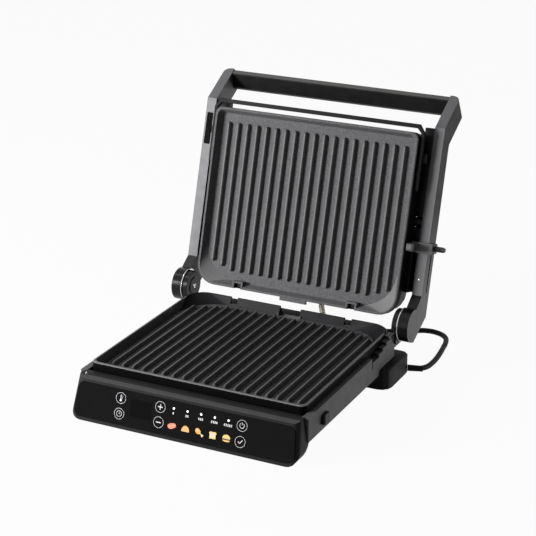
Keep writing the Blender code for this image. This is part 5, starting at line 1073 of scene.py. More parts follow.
@dataclass
class Plates:
    """The two ribbed plates with their catches, the drip guard and the heating behind them.

    Attributes:
        edge: Width of the plates' eased edges.
        segments: Steps across an eased edge.
        half_width: Half of a plate's width.
        lower_span: Front and rear of the lower plate.
        upper_span: Nearest and furthest reach of the upper plate.
        hinge_corner: Radius of a plate's corners at the hinge.
        far_corner: Radius of its other corners.
        skirt_depth: How near to the outline a side face is skirt, which takes a painted shade.
        lower_ridge: Height over the floor of the lower ribs' tops.
        upper_ridge: Height in the lid of the upper ribs' tops.
        ridge_reach: How near to that height a rib's top lies, which takes a painted highlight.
        ramp_start: Distance from the front at which the lower plate's rear ramp starts, which takes a painted shade.
        ramp_face: Share of a ramp face's normal upwards and to the front.
        rim_width: How near to the outline a face of the lower rim's top lies, which takes a painted highlight.
        side_face: Share of the normal away from the food under which a face is a side face.
        catch_x: Distance of a catch from the middle.
        catch_half: Half of a catch's width.
        upper_catch: Nearest and furthest reach of an upper catch.
        upper_catch_height: Lowest and highest height of an upper catch.
        lower_catch: Front and rear of a lower catch's tongue.
        lower_catch_rise: Bottom and top of that tongue.
        guard_half: Half of the drip guard's length.
        guard: Front and rear of the drip guard.
        guard_rise: Bottom and top of the drip guard.
        small_edge: Width of the small pieces' eased edges.
    """

    edge: float = 0.7 * MM
    segments: int = 3
    half_width: float = 144.7 * MM
    lower_span: tuple[float, float] = (-22 * MM, 243 * MM)
    upper_span: tuple[float, float] = (6.3 * MM, 243.6 * MM)
    hinge_corner: float = 26 * MM
    far_corner: float = 9 * MM
    skirt_depth: float = 2.2 * MM
    lower_ridge: float = 55.3 * MM
    upper_ridge: float = 2.4 * MM
    ridge_reach: float = 0.3 * MM
    ramp_start: float = 185 * MM
    ramp_face: float = 0.12
    rim_width: float = 3.2 * MM
    side_face: float = 0.6
    catch_x: float = 82.5 * MM
    catch_half: float = 4.85 * MM
    upper_catch: tuple[float, float] = (6.5 * MM, 13.7 * MM)
    upper_catch_height: tuple[float, float] = (3.2 * MM, 11.2 * MM)
    lower_catch: tuple[float, float] = (239.2 * MM, 241.8 * MM)
    lower_catch_rise: tuple[float, float] = (52 * MM, 59.6 * MM)
    guard_half: float = 15.2 * MM
    guard: tuple[float, float] = (240.6 * MM, 242.6 * MM)
    guard_rise: tuple[float, float] = (51.2 * MM, 58.6 * MM)
    small_edge: float = 0.5 * MM

    def build(self, bench: Bench) -> None:
        """Ease the plates' edges, coat them, fill their catches and dress the heating.

        Args:
            bench: The bench.
        """
        # The plates' skirts and the lower rear ramp take painted shade, the rib tops and the lower rim top a painted
        # highlight.
        for word, sort in (("lower", self._finish_of_lower), ("upper", self._finish_of_upper)):
            bench.softened(word + "_plate", word + "_grill_plate",
                           [FINISHES.plate_coating, FINISHES.plate_skirt_painted_shade, FINISHES.plate_ridge_highlight,
                            FINISHES.plate_ramp_painted_shade], self.edge, self.segments, limit=24 * DEG, sort=sort)
            bench.dress(word + "_element", FINISHES.element_steel)
            bench.dress(word + "_reflector", FINISHES.reflector_alloy)
            bench.dress(word + "_thermostat", FINISHES.ceramic_white)
        for side, sense in (("left", -1), ("right", 1)):
            middle = sense * self.catch_x
            span = (middle - self.catch_half, middle + self.catch_half)
            upper = rounded_box(span, (-self.upper_catch[1], -self.upper_catch[0]), self.upper_catch_height,
                                self.small_edge)
            bmesh.ops.transform(upper, verts=upper.verts, matrix=lid_matrix())
            bench.piece("upper_catch_" + side, upper, [FINISHES.catch_black], "head")
            lower = rounded_box(span, self.lower_catch, self.lower_catch_rise, self.small_edge)
            bmesh.ops.translate(lower, verts=lower.verts, vec=DATUM)
            bench.piece("lower_catch_" + side, lower, [FINISHES.catch_black], "base")
        guard = rounded_box((-self.guard_half, self.guard_half), self.guard, self.guard_rise, self.small_edge)
        bmesh.ops.translate(guard, verts=guard.verts, vec=DATUM)
        bench.piece("drip_guard", guard, [FINISHES.catch_black], "base")

    def _finish_of_lower(self, face: bmesh.types.BMFace) -> int:
        """Return the index of the finish of the lower plate's face: 1 on its skirt, 2 on a ridge, 3 at the rear.

        Args:
            face: A face in world coordinates.

        Returns:
            0 for the coating, 1 for the skirt's painted shade, 2 for the painted highlight on a rib's top or the
            rim's top and 3 for the rear ramp's painted shade.
        """
        place = face.calc_center_median() - DATUM
        high = place.z > self.lower_ridge + self.ridge_reach
        if place.y > self.ramp_start and face.normal.z > self.ramp_face and (
                high or face.normal.y < -self.ramp_face):
            return 3
        outside = self._outline_distance(place.x, self.lower_span[1] - place.y, self.lower_span)
        if face.normal.z > self.side_face:
            return 2 if abs(place.z - self.lower_ridge) < self.ridge_reach or outside > -self.rim_width else 0
        if face.normal.z < -self.side_face:
            return 0
        return int(outside > -self.skirt_depth)

    def _finish_of_upper(self, face: bmesh.types.BMFace) -> int:
        """Return the index of the finish of the upper plate's face: 1 on its skirt, 2 on a ridge.

        Args:
            face: A face in world coordinates.

        Returns:
            0 for the coating, 1 for the skirt's painted shade and 2 for the painted highlight on a rib's top.
        """
        back = lid_matrix().inverted()
        place = back @ face.calc_center_median()
        away = (back.to_3x3() @ face.normal).z
        outside = self._outline_distance(place.x, -place.y - self.upper_span[0], self.upper_span)
        if away < -self.side_face:
            return 2 if abs(place.z - self.upper_ridge) < self.ridge_reach else 0
        if away > self.side_face:
            return 0
        return int(outside > -self.skirt_depth)

    def _outline_distance(self, across: float, from_hinge: float, span: tuple[float, float]) -> float:
        """Return how far a place lies outside a plate's rounded outline.

        Args:
            across: Distance from the middle of the plate.
            from_hinge: Distance from its edge at the hinge.
            span: Ends of the plate.

        Returns:
            The distance, negative inside the outline.
        """
        half = (span[1] - span[0]) / 2
        radius = self.hinge_corner if from_hinge < half else self.far_corner
        past = Vector((abs(across) - (self.half_width - radius), abs(from_hinge - half) - (half - radius)))
        outside = Vector((max(past.x, 0), max(past.y, 0))).length
        return outside + min(max(past.x, past.y), 0) - radius


@dataclass
class BaseShell:
    """The side frame, the housing, the fascia, the buttons, the feet and the drip cup.

    Attributes:
        frame_edge: Width of the side frame's eased edges.
        fascia_edge: Width of the fascia's eased edges.
        housing_edge: Width of the housing's eased edges.
        button_edge: Width of the small parts' eased edges.
        tread_face: Share of the normal upwards over which a face of the rack is a tread.
        brow_face: Shares of the normal upwards between which a face of the fascia is its brow, which takes a painted
            highlight.
    """

    frame_edge: float = 0.6 * MM
    fascia_edge: float = 0.9 * MM
    housing_edge: float = 1.0 * MM
    button_edge: float = 0.5 * MM
    tread_face: float = 0.7
    brow_face: tuple[float, float] = (0.35, 0.98)

    def build(self, bench: Bench) -> None:
        """Ease and dress the shells of the base.

        Args:
            bench: The bench.
        """
        bench.softened("side_frame", "side_walls", [FINISHES.frame_paint], self.frame_edge)
        bench.softened("step_rack", "height_rack", [FINISHES.step_black, FINISHES.frame_paint], self.button_edge,
                       sort=self._finish_of_step)
        bench.softened("lower_housing", "housing_shell", [FINISHES.housing_black], self.housing_edge)
        # The fascia's brow takes a paler finish as a painted highlight.
        bench.softened("front_fascia", "fascia_shell", [FINISHES.fascia_black, FINISHES.fascia_brow_highlight],
                       self.fascia_edge, 3, sort=self._finish_of_fascia)
        bench.softened("drip_cup", "drip_cup_moulding", [FINISHES.housing_black], self.button_edge)
        for side in ("left", "right"):
            bench.softened("lower_release_" + side, "base_button_" + side, [FINISHES.button_black],
                           self.button_edge)
            bench.softened("cup_rail_" + side, "cup_bracket_" + side, [FINISHES.housing_black],
                           self.button_edge)
            for end in ("front", "rear"):
                bench.softened(f"foot_{end}_{side}", f"rubber_foot_{end}_{side}", [FINISHES.foot_rubber],
                               self.button_edge)
        bench.dress("display_board", FINISHES.board_green)
        bench.dress("power_board", FINISHES.board_green)
        bench.dress("terminal_block", FINISHES.terminal_cream)

    def _finish_of_fascia(self, face: bmesh.types.BMFace) -> int:
        """Return the index of the finish of the fascia's face: 1 on the brow over the glass.

        Args:
            face: A face in world coordinates.

        Returns:
            0 for the black and 1 for the paler brow, a painted highlight.
        """
        return int(self.brow_face[0] < face.normal.z < self.brow_face[1] and face.normal.y < 0)

    def _finish_of_step(self, face: bmesh.types.BMFace) -> int:
        """Return the index of the finish of the rack's face: 1 on a tread.

        Args:
            face: A face in world coordinates.

        Returns:
            0 for the black and 1 for the paint.
        """
        return int(face.normal.z > self.tread_face)


@dataclass
class Stencil:
    """Thin printed shapes on a flat face, each laid a little over the one before.

    Attributes:
        inks: The finishes, in the order of the shapes' material indices.
        lift: Height of the first film over the face.
        layer: Height that each film adds.
        rounds: Corners of a round shape.
        shape: The films so far, in the face's own coordinates.
    """

    inks: tuple[Finish, ...]
    lift: float = 0.02 * MM
    layer: float = 0.002 * MM
    rounds: int = 40
    shape: bmesh.types.BMesh = field(default_factory=bmesh.new)

    def _lay(self, verts: Sequence[bmesh.types.BMVert], ink: Finish, place: tuple[float, float],
             size: tuple[float, float], turn: float) -> None:
        """Scale, turn and place a film and give it its ink.

        Args:
            verts: The film's corners.
            ink: Its finish.
            place: Its middle on the face.
            size: Its scale along the face's two axes.
            turn: Its turn.
        """
        self.lift += self.layer
        matrix = (Matrix.Translation((*place, self.lift)) @ Matrix.Rotation(turn, 4, "Z")
                  @ Matrix.Diagonal((*size, 1, 1)))
        bmesh.ops.transform(self.shape, verts=verts, matrix=matrix)
        for face in {f for v in verts for f in v.link_faces}:
            face.material_index = self.inks.index(ink)
            face.normal_update()
            if face.normal.z < 0:
                face.normal_flip()

    def disc(self, ink: Finish, place: tuple[float, float], half_width: float, half_height: float = 0,
             turn: float = 0) -> None:
        """Print a filled ellipse.

        Args:
            ink: Its finish.
            place: Its middle.
            half_width: Half of its width.
            half_height: Half of its height; a circle without it.
            turn: Its turn.
        """
        verts = bmesh.ops.create_circle(self.shape, cap_ends=True, segments=self.rounds, radius=1)["verts"]
        self._lay(verts, ink, place, (half_width, half_height or half_width), turn)

    def dome(self, ink: Finish, place: tuple[float, float], half_width: float, height: float,
             turn: float = 0) -> None:
        """Print the upper half of an ellipse.

        Args:
            ink: Its finish.
            place: The middle of its flat side.
            half_width: Half of its width.
            height: Its height.
            turn: Its turn.
        """
        verts = bmesh.ops.create_circle(self.shape, cap_ends=True, segments=self.rounds, radius=1)["verts"]
        faces = list({f for v in verts for f in v.link_faces})
        edges = list({e for f in faces for e in f.edges})
        cut = bmesh.ops.bisect_plane(self.shape, geom=[*verts, *edges, *faces], dist=1e-7, plane_co=(0, 0, 0),
                                     plane_no=(0, 1, 0), clear_inner=True)["geom"]
        self._lay([g for g in cut if isinstance(g, bmesh.types.BMVert)], ink, place, (half_width, height), turn)

    def bar(self, ink: Finish, place: tuple[float, float], length: float, height: float, turn: float = 0) -> None:
        """Print a bar.

        Args:
            ink: Its finish.
            place: Its middle.
            length: Its length.
            height: Its height.
            turn: Its turn.
        """
        verts = bmesh.ops.create_grid(self.shape, x_segments=1, y_segments=1, size=0.5)["verts"]
        self._lay(verts, ink, place, (length, height), turn)

    def ring(self, ink: Finish, place: tuple[float, float], radius: float, line: float, gap: float = 0) -> None:
        """Print a ring, with a gap at its top if wanted.

        Args:
            ink: Its finish.
            place: Its middle.
            radius: Its outer radius.
            line: The width of its line.
            gap: The angle that stays open at the top.
        """
        outer = bmesh.ops.create_circle(self.shape, segments=self.rounds, radius=1)["verts"]
        edges = list({e for v in outer for e in v.link_edges})
        grown = bmesh.ops.extrude_edge_only(self.shape, edges=edges)["geom"]
        inner = [g for g in grown if isinstance(g, bmesh.types.BMVert)]
        bmesh.ops.scale(self.shape, verts=inner, vec=(1 - line / radius, 1 - line / radius, 1))
        faces = {f for v in inner for f in v.link_faces}
        open_faces = [f for f in faces if self._from_top(f.calc_center_median()) < gap / 2]
        verts = [*outer, *inner]
        if open_faces:
            kept = {v for f in faces if f not in open_faces for v in f.verts}
            bmesh.ops.delete(self.shape, geom=open_faces, context="FACES")
            verts = [v for v in kept if v.is_valid]
        self._lay(verts, ink, place, (radius, radius), 0)

    def _from_top(self, place: Vector) -> float:
        """Return the angle between a place and the upward axis of the face."""
        return abs(math.atan2(place.x, place.y))


@dataclass
class ControlPanel:
    """The touch glass with its keys, lamps, level marks and food pictograms.

    Places are written as a distance from the middle and a distance up the slanted face.

    Attributes:
        foot: Middle of the face's lower edge.
        rise: How far the face goes back and up.
        glass_edge: Width of the glass's eased edge.
        proud: How far the glass stands over the face.
        key_radius: Outer radius of a key's ring.
        key_line: Width of a key's ring.
        heat: Place of the temperature key.
        clock: Place of the timer key.
        more: Place of the plus key.
        less: Place of the minus key.
        power: Place of the power key.
        accept: Place of the tick key.
        sign_size: Length and width of the plus and minus signs' bars.
        lamp_radius: Radius of a lamp.
        columns: Places of the five programs across the face.
        lamp_row: Height of the lamps.
        mark_row: Height of the level marks.
        mark_size: Width and height of one level mark.
        mark_pitch: Distance between level marks.
        food_row: Height of the pictograms.
        display: Middle, width and height of the dark display.
    """

    foot: Vector = field(default_factory=lambda: on_base(0, -60.4 * MM, 1.0 * MM))
    rise: tuple[float, float] = (15.1 * MM, 48.8 * MM)
    glass_edge: float = 0.15 * MM
    proud: float = 0.2 * MM
    key_radius: float = 6.8 * MM
    key_line: float = 0.45 * MM
    heat: tuple[float, float] = (-85.1 * MM, 37.0 * MM)
    clock: tuple[float, float] = (-85.1 * MM, 18.0 * MM)
    more: tuple[float, float] = (-30.9 * MM, 36.7 * MM)
    less: tuple[float, float] = (-31.0 * MM, 18.2 * MM)
    power: tuple[float, float] = (77.7 * MM, 35.9 * MM)
    accept: tuple[float, float] = (77.8 * MM, 16.8 * MM)
    sign_size: tuple[float, float] = (6.6 * MM, 1.2 * MM)
    lamp_radius: float = 1.35 * MM
    columns: tuple[float, ...] = (-12.8 * MM, 5.5 * MM, 23.7 * MM, 41.8 * MM, 59.8 * MM)
    lamp_row: float = 38.5 * MM
    mark_row: float = 32.8 * MM
    mark_size: tuple[float, float] = (1.4 * MM, 2.9 * MM)
    mark_pitch: float = 2.3 * MM
    food_row: float = 17.4 * MM
    display: tuple[float, float, float, float] = (-56 * MM, 28.4 * MM, 29 * MM, 21 * MM)

    def build(self, bench: Bench) -> None:
        """Dress the glass and print its face.

        Args:
            bench: The bench.
        """
        bench.softened("touch_glass", "control_glass", [FINISHES.panel_glass], self.glass_edge)
        print_ = Stencil((FINISHES.ink_white, FINISHES.ink_coral, FINISHES.ink_amber, FINISHES.ink_gold,
                          FINISHES.ink_cream, FINISHES.ink_brown, FINISHES.lamp_dot, FINISHES.display_glass))
        print_.bar(FINISHES.display_glass, self.display[:2], self.display[2], self.display[3])
        self._keys(print_)
        for level, x in enumerate(self.columns, 1):
            print_.disc(FINISHES.lamp_dot, (x, self.lamp_row), self.lamp_radius)
            for mark in range(level):
                shift = (mark - (level - 1) / 2) * self.mark_pitch
                print_.bar(FINISHES.ink_white, (x + shift, self.mark_row), *self.mark_size)
        foods = (self._steak, self._fish, self._poultry, self._toast, self._burger)
        for x, food in zip(self.columns, foods):
            food(print_, x, self.food_row)
        bmesh.ops.transform(print_.shape, verts=print_.shape.verts, matrix=self._matrix())
        bench.piece("panel_print", print_.shape, print_.inks, "base")

    def _matrix(self) -> Matrix:
        """Find where the slanted face lies.

        Returns:
            The matrix that takes places on the face to the world.
        """
        up = Vector((0, *self.rise)).normalized()
        out = Vector((1, 0, 0)).cross(up)
        turn = Matrix((Vector((1, 0, 0)), up, out)).transposed().to_4x4()
        return Matrix.Translation(self.foot + out * self.proud) @ turn

    def _keys(self, print_: Stencil) -> None:
        """Print the six ringed keys with their signs.

        Args:
            print_: The stencil.
        """
        ink = FINISHES.ink_white
        heat, clock, power, accept = self.heat, self.clock, self.power, self.accept
        long, wide = self.sign_size
        for place in (heat, clock, self.more, self.less, power, accept):
            print_.ring(ink, place, self.key_radius, self.key_line)
        print_.bar(ink, (heat[0], heat[1] + 0.8 * MM), 1.1 * MM, 5.6 * MM)
        print_.disc(ink, (heat[0], heat[1] + 3.6 * MM), 0.55 * MM)
        print_.disc(ink, (heat[0], heat[1] - 2.6 * MM), 1.5 * MM)
        for row in range(3):
            print_.bar(ink, (heat[0] + 1.9 * MM, heat[1] + (row * 1.5 - 0.4) * MM), 1.2 * MM, 0.45 * MM)
        print_.ring(ink, clock, 3.7 * MM, 0.55 * MM)
        print_.bar(ink, (clock[0], clock[1] + 1.1 * MM), 0.5 * MM, 2.4 * MM)
        print_.bar(ink, (clock[0] + 0.8 * MM, clock[1]), 1.8 * MM, 0.5 * MM)
        print_.bar(ink, self.more, long, wide)
        print_.bar(ink, self.more, wide, long)
        print_.bar(ink, self.less, long, wide)
        print_.ring(ink, power, 3.3 * MM, 0.7 * MM, gap=80 * DEG)
        print_.bar(ink, (power[0], power[1] + 2.2 * MM), 0.7 * MM, 3.2 * MM)
        print_.bar(ink, (accept[0] - 1.6 * MM, accept[1] - 0.9 * MM), 3.0 * MM, 0.9 * MM, -45 * DEG)
        print_.bar(ink, (accept[0] + 1.2 * MM, accept[1] + 0.1 * MM), 5.6 * MM, 0.9 * MM, 50 * DEG)

    def _steak(self, print_: Stencil, x: float, s: float) -> None:
        """Print a slice of meat.

        Args:
            print_: The stencil.
            x: Its place across the face.
            s: Its place up the face.
        """
        print_.disc(FINISHES.ink_coral, (x - 0.9 * MM, s - 0.3 * MM), 4.6 * MM, 3.3 * MM, 12 * DEG)
        print_.disc(FINISHES.ink_coral, (x + 2.3 * MM, s + 0.9 * MM), 3.2 * MM, 2.9 * MM)
        print_.disc(FINISHES.ink_cream, (x + 2.4 * MM, s + 1.0 * MM), 1.0 * MM, 0.8 * MM)
        print_.bar(FINISHES.ink_cream, (x - 2.2 * MM, s - 0.3 * MM), 3.2 * MM, 0.5 * MM, 20 * DEG)

    def _fish(self, print_: Stencil, x: float, s: float) -> None:
        """Print a steak of fish.

        Args:
            print_: The stencil.
            x: Its place across the face.
            s: Its place up the face.
        """
        print_.dome(FINISHES.ink_amber, (x, s - 3.2 * MM), 5.2 * MM, 7.2 * MM)
        for shift, height in ((-2.4, 4.2), (0.0, 5.4), (2.4, 4.2)):
            print_.bar(FINISHES.ink_cream, (x + shift * MM, s - 3.2 * MM + height * MM / 2), 0.5 * MM, height * MM,
                       -shift * 4 * DEG)

    def _poultry(self, print_: Stencil, x: float, s: float) -> None:
        """Print a drumstick.

        Args:
            print_: The stencil.
            x: Its place across the face.
            s: Its place up the face.
        """
        print_.bar(FINISHES.ink_cream, (x + 2.6 * MM, s - 1.9 * MM), 6.0 * MM, 1.1 * MM, -38 * DEG)
        print_.disc(FINISHES.ink_cream, (x + 5.2 * MM, s - 3.2 * MM), 0.95 * MM)
        print_.disc(FINISHES.ink_cream, (x + 4.4 * MM, s - 4.1 * MM), 0.95 * MM)
        print_.disc(FINISHES.ink_amber, (x - 1.5 * MM, s + 0.9 * MM), 3.9 * MM, 3.1 * MM, -38 * DEG)
        print_.disc(FINISHES.ink_cream, (x - 2.3 * MM, s + 1.9 * MM), 1.5 * MM, 0.6 * MM, -38 * DEG)

    def _toast(self, print_: Stencil, x: float, s: float) -> None:
        """Print a slice of bread.

        Args:
            print_: The stencil.
            x: Its place across the face.
            s: Its place up the face.
        """
        print_.bar(FINISHES.ink_gold, (x, s - 0.9 * MM), 8.2 * MM, 6.6 * MM)
        print_.disc(FINISHES.ink_gold, (x - 2.2 * MM, s + 2.2 * MM), 2.7 * MM, 1.9 * MM)
        print_.disc(FINISHES.ink_gold, (x + 2.2 * MM, s + 2.2 * MM), 2.7 * MM, 1.9 * MM)
        print_.bar(FINISHES.ink_cream, (x, s - 0.5 * MM), 6.2 * MM, 5.0 * MM)
        print_.disc(FINISHES.ink_cream, (x, s + 1.9 * MM), 3.3 * MM, 1.2 * MM)

    def _burger(self, print_: Stencil, x: float, s: float) -> None:
        """Print a bun with a filling.

        Args:
            print_: The stencil.
            x: Its place across the face.
            s: Its place up the face.
        """
        print_.dome(FINISHES.ink_gold, (x, s + 0.4 * MM), 4.9 * MM, 3.9 * MM)
        print_.bar(FINISHES.ink_cream, (x, s - 0.2 * MM), 10.2 * MM, 0.8 * MM)
        print_.bar(FINISHES.ink_brown, (x, s - 1.3 * MM), 9.6 * MM, 1.5 * MM)
        print_.dome(FINISHES.ink_gold, (x, s - 2.3 * MM), 4.9 * MM, 1.9 * MM, math.pi)


@dataclass
class LidArms:
    """The two arms with their drums, rings, pivots, the handle bar and the window.

    Attributes:
        edge: Width of the arms' eased edges.
        dark_reach: Reach below which the arm's food side is glossy black; on the knuckle this black is painted
            shade.
        dark_height: Height below which that side is glossy black.
        side_face: Share of the normal along X over which a face is a side face.
        slot_reach: Reaches between which the slider's slot lies.
        slot_height: Heights between which it lies.
        elbow: Reach and height of the elbow.
        hand_length: Length of the bent end.
        hand_corner: Radius of the bent end's outer corner.
        outer_x: Distance of the arms' outer faces from the middle.
        line_radius: Radius of the fine line on the drum's outer face.
        line_width: Width of that line.
        line_rounds: Corners of that line.
        ring_edge: Width of a hinge ring's eased edges.
        ear_edge: Width of a hinge ear's eased edges.
        window_edge: Width of the window's eased edges.
        handle_edge: Width of the handle's eased edges.
        band_face: Share of the normal upwards over which the handle's face is its light band, a painted highlight.
    """

    edge: float = 1.1 * MM
    dark_reach: float = 37.6 * MM
    dark_height: float = 16.6 * MM
    side_face: float = 0.9
    slot_reach: tuple[float, float] = (50 * MM, 160 * MM)
    slot_height: tuple[float, float] = (26 * MM, 36 * MM)
    elbow: tuple[float, float] = (252.8 * MM, 19.8 * MM)
    hand_length: float = 60 * MM
    hand_corner: float = 9 * MM
    outer_x: float = 170.5 * MM
    line_radius: float = 12.7 * MM
    line_width: float = 0.4 * MM
    line_rounds: int = 64
    ring_edge: float = 0.3 * MM
    ear_edge: float = 0.5 * MM
    window_edge: float = 0.2 * MM
    handle_edge: float = 0.6 * MM
    band_face: float = 0.75

    def build(self, bench: Bench) -> None:
        """Ease and dress the lid's arms and what they carry.

        Args:
            bench: The bench.
        """
        for side, sense in (("left", -1), ("right", 1)):
            # The arms' knuckles take the drums' black as painted shade, and their outer sides darken with height,
            # partly as painted shade.
            bench.softened("arm_" + side, "lid_arm_" + side,
                           [FINISHES.arm_paint, FINISHES.drum_gloss_and_knuckle_shade, FINISHES.arm_side_tone_and_shade], self.edge, 3,
                           sort=self._finish_of, shape_first=self._round_hand)
            bench.softened("hinge_ring_" + side, "bright_ring_" + side, [FINISHES.ring_chrome], self.ring_edge)
            bench.dress("head_pivot_" + side, FINISHES.pivot_black)
            bench.dress("hinge_pin_" + side, FINISHES.pin_steel)
            bench.softened("hinge_ear_" + side, "hinge_lug_" + side, [FINISHES.ear_black], self.ear_edge)
            line = Stencil((FINISHES.disc_line,), rounds=self.line_rounds)
            line.ring(FINISHES.disc_line, (0, 0), self.line_radius, self.line_width)
            turn = Matrix.Rotation(sense * 90 * DEG, 4, "Y")
            place = DATUM + HINGE + Vector((sense * self.outer_x, 0, 0))
            bmesh.ops.transform(line.shape, verts=line.shape.verts, matrix=Matrix.Translation(place) @ turn)
            bench.piece("drum_line_" + side, line.shape, line.inks, "lid")
        # The handle's upward faces take a lighter band as a painted highlight.
        bench.softened("handle_bar", "grab_bar", [FINISHES.handle_paint, FINISHES.handle_band_highlight], self.handle_edge,
                       3, limit=20 * DEG, sort=self._finish_of_handle)
        bench.softened("arm_window", "arm_lens", [FINISHES.window_glass], self.window_edge)

    def _finish_of(self, face: bmesh.types.BMFace) -> int:
        """Return the index of the finish of an arm's face: 1 on the drum, the knuckle and in the slot, 2 outside.

        Args:
            face: A face in world coordinates.

        Returns:
            0 for the paint, 1 for the gloss (painted shade on the knuckle) and 2 for the outer side.
        """
        if abs(face.normal.x) >= self.side_face:
            return 2 if face.normal.x * face.calc_center_median().x > 0 else 0
        place = lid_matrix().inverted() @ face.calc_center_median()
        drum = -place.y < self.dark_reach and place.z < self.dark_height
        slot = (self.slot_reach[0] < -place.y < self.slot_reach[1]
                and self.slot_height[0] < place.z < self.slot_height[1])
        return int(drum or slot)

    def _finish_of_handle(self, face: bmesh.types.BMFace) -> int:
        """Return the index of the finish of the handle's face: 1 on its top.

        Args:
            face: A face in world coordinates.

        Returns:
            0 for the paint and 1 for the light band, a painted highlight.
        """
        return int(face.normal.z > self.band_face)

    def _round_hand(self, shape: bmesh.types.BMesh) -> None:
        """Round the outer corner at the end of the arm's bent end.

        Args:
            shape: The merged copy of the arm in world coordinates.
        """
        back = lid_matrix().inverted()
        ahead = Vector((-1, 1)).normalized()

        def at_end(vert: bmesh.types.BMVert) -> bool:
            """Tell whether a corner lies on the end face's outer edge.

            Args:
                vert: A corner of the arm in world coordinates.

            Returns:
                True where it does.
            """
            place = back @ vert.co
            past = Vector((place.y + self.elbow[0], place.z - self.elbow[1]))
            return abs(place.x) > self.outer_x - 0.1 * MM and past.dot(ahead) > self.hand_length - 0.5 * MM

        corner = [e for e in shape.edges if all(at_end(v) for v in e.verts)]
        LOG.info("rounding %d edges of a hand", len(corner))
        bmesh.ops.bevel(shape, geom=corner, offset=self.hand_corner, offset_type="OFFSET", segments=6, profile=0.5,
                        affect="EDGES", material=-1)


@dataclass
class Head:
    """The head cover with its side cheeks, its guard rail and its release buttons.

    Attributes:
        cover_edge: Width of the cover's eased edges.
        rail_edge: Width of the rail's eased edges.
        cheek_x: Inner and outer distance of a cheek from the middle.
        cheek_reach: Nearest and furthest reach of a cheek.
        cheek_height: Lowest and highest height of a cheek.
        pin_reach: Reaches between which a cheek is cut out for the pivot.
        pin_height: Height up to which it is cut out.
        slide_reach: Reach up to which it is cut out for the slider's strap.
        web_x: Outer distance of the web that closes the view beside the strap.
        cheek_edge: Width of a cheek's eased edges.
    """

    cover_edge: float = 0.8 * MM
    rail_edge: float = 0.6 * MM
    cheek_x: tuple[float, float] = (142.2 * MM, 156.1 * MM)
    cheek_reach: tuple[float, float] = (38 * MM, 251 * MM)
    cheek_height: tuple[float, float] = (24.6 * MM, 42 * MM)
    pin_reach: tuple[float, float] = (123 * MM, 137 * MM)
    pin_height: float = 36.5 * MM
    slide_reach: float = 96 * MM
    web_x: float = 147.9 * MM
    cheek_edge: float = 0.6 * MM

    def build(self, bench: Bench) -> None:
        """Ease and dress the head and set its cheeks beside the cover.

        Args:
            bench: The bench.
        """
        bench.softened("head_cover", "head_shell", [FINISHES.cover_paint], self.cover_edge, limit=40 * DEG)
        bench.softened("head_rail", "guard_rail", [FINISHES.rail_paint], self.rail_edge)
        for side, sense in (("left", -1), ("right", 1)):
            bench.softened("upper_release_" + side, "head_button_" + side, [FINISHES.button_black],
                           self.rail_edge)
            near, far = self.cheek_reach
            low, high = self.cheek_height
            outline = ((-near, self.pin_height), (-near, high), (-far, high), (-far, low), (-self.pin_reach[1], low),
                       (-self.pin_reach[1], self.pin_height), (-self.pin_reach[0], self.pin_height),
                       (-self.pin_reach[0], low), (-self.slide_reach, low), (-self.slide_reach, self.pin_height))
            across = sorted(sense * x for x in self.cheek_x)
            cheek = prism(outline, (across[0], across[1]), self.cheek_edge)
            bmesh.ops.transform(cheek, verts=cheek.verts, matrix=lid_matrix())
            bench.piece("head_cheek_" + side, cheek, [FINISHES.cover_paint], "head")
            outline = ((-near, low), (-near, high), (-self.slide_reach, high), (-self.slide_reach, low))
            across = sorted((sense * self.cheek_x[0], sense * self.web_x))
            web = prism(outline, (across[0], across[1]), self.cheek_edge)
            bmesh.ops.transform(web, verts=web.verts, matrix=lid_matrix())
            bench.piece("head_web_" + side, web, [FINISHES.cover_paint], "head")


@dataclass
class Slider:
    """The height slider on the right arm.

    Attributes:
        edge: Width of the eased edges.
    """

    edge: float = 0.4 * MM

    def build(self, bench: Bench) -> None:
        """Ease and dress the slider's strap, housing and knob.

        Args:
            bench: The bench.
        """
        bench.softened("slider_strap", "slider_band", [FINISHES.slider_steel], self.edge)
        bench.softened("slider_housing", "slider_box", [FINISHES.button_black], self.edge)
        bench.softened("slider_knob", "slider_stud", [FINISHES.slider_steel], self.edge, limit=20 * DEG)


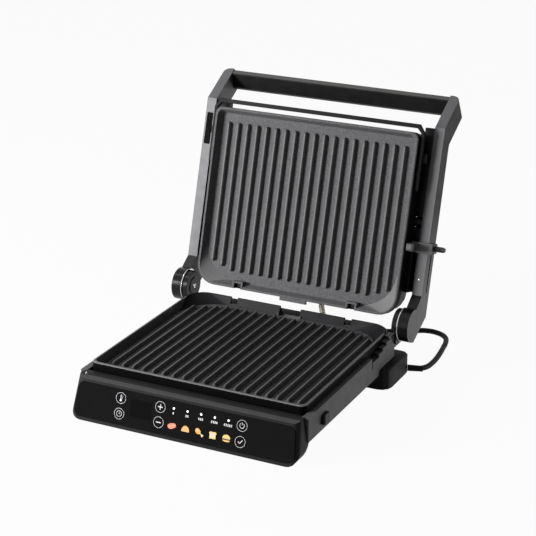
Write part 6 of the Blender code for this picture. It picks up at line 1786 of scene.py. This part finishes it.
@dataclass
class Fasteners:
    """The bright screws that show on the ears, on the right arm and at the fascia's left end.

    Attributes:
        ear_x: Distance of the ears' inner discs from the middle.
        ear_radius: Radius of an ear's screw head.
        arm_place: Place of the arm's screw across, in reach and in height.
        small_radius: Radius of the small screws' heads.
        deck_place: Place of the screw at the fascia's left end.
        rise: Height of a head over its radius.
        slot: Length, width and depth of a cross slot over the radius.
        slot_turns: Turns of the two slots.
        dome: Width of a head's rounded edge over the radius.
        rounds: Corners of a head.
    """

    ear_x: float = 147 * MM
    ear_radius: float = 3.2 * MM
    arm_place: Point = (163.4 * MM, 57.9 * MM, 16.9 * MM)
    small_radius: float = 1.3 * MM
    deck_place: Point = (-141.5 * MM, -36 * MM, 52.4 * MM)
    rise: float = 0.4
    slot: Point = (1.2, 0.3, 0.1)
    slot_turns: tuple[float, float] = (35 * DEG, 125 * DEG)
    dome: float = 0.3
    rounds: int = 28

    def build(self, bench: Bench) -> None:
        """Set the screws.

        Args:
            bench: The bench.
        """
        for side, sense in (("left", 1), ("right", -1)):
            matrix = Matrix.Rotation(sense * 90 * DEG, 4, "Y")
            matrix.translation = DATUM + HINGE + Vector((-sense * self.ear_x, 0, 0))
            self._screw(bench, "ear_screw_" + side, matrix, self.ear_radius, "base")
        matrix = lid_matrix() @ Matrix.Translation(
            (self.arm_place[0], -self.arm_place[1], self.arm_place[2])) @ Matrix.Rotation(math.pi, 4, "X")
        self._screw(bench, "arm_screw", matrix, self.small_radius, "lid")
        matrix = Matrix.Translation(DATUM + Vector(self.deck_place))
        self._screw(bench, "deck_screw", matrix, self.small_radius, "base")

    def _screw(self, bench: Bench, name: str, matrix: Matrix, radius: float, body: str) -> None:
        """Make a round screw head with a cross slot.

        Args:
            bench: The bench.
            name: The piece's name.
            matrix: Takes the head's own coordinates, with its axis along Z, to the world.
            radius: The head's radius.
            body: The body that it rides on.
        """
        shape = bmesh.new()
        height = self.rise * radius
        head = bmesh.ops.create_cone(shape, cap_ends=True, segments=self.rounds, radius1=radius, radius2=radius,
                                     depth=2 * height)["verts"]
        top = [e for v in head for e in v.link_edges if all(w.co.z > 0 for w in e.verts)]
        bmesh.ops.bevel(shape, geom=list(set(top)), offset=self.dome * radius, offset_type="OFFSET", segments=3,
                        profile=0.5, affect="EDGES", material=-1)
        for turn in self.slot_turns:
            bar = bmesh.ops.create_cube(shape, size=1)["verts"]
            place = (Matrix.Translation((0, 0, height)) @ Matrix.Rotation(turn, 4, "Z")
                     @ Matrix.Diagonal((*(share * radius for share in self.slot), 1)))
            bmesh.ops.transform(shape, verts=bar, matrix=place)
            for face in {f for v in bar for f in v.link_faces}:
                face.material_index = 1
        bmesh.ops.transform(shape, verts=shape.verts, matrix=matrix)
        bench.piece(name, shape, [FINISHES.screw_steel, FINISHES.step_black], body)


def main() -> None:
    """Build the looks of the grill around its frame."""
    logging.basicConfig(level=logging.INFO, format="%(name)s: %(message)s")
    bench = Bench.load()
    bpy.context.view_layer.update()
    Studio().build()
    for assembly in (MainsLead(), BraidedLead(), Plates(), BaseShell(), ControlPanel(), LidArms(), Head(),
                     Slider(), Fasteners()):
        assembly.build(bench)
    LOG.info("grill finished")


if __name__ == "__main__":
    main()
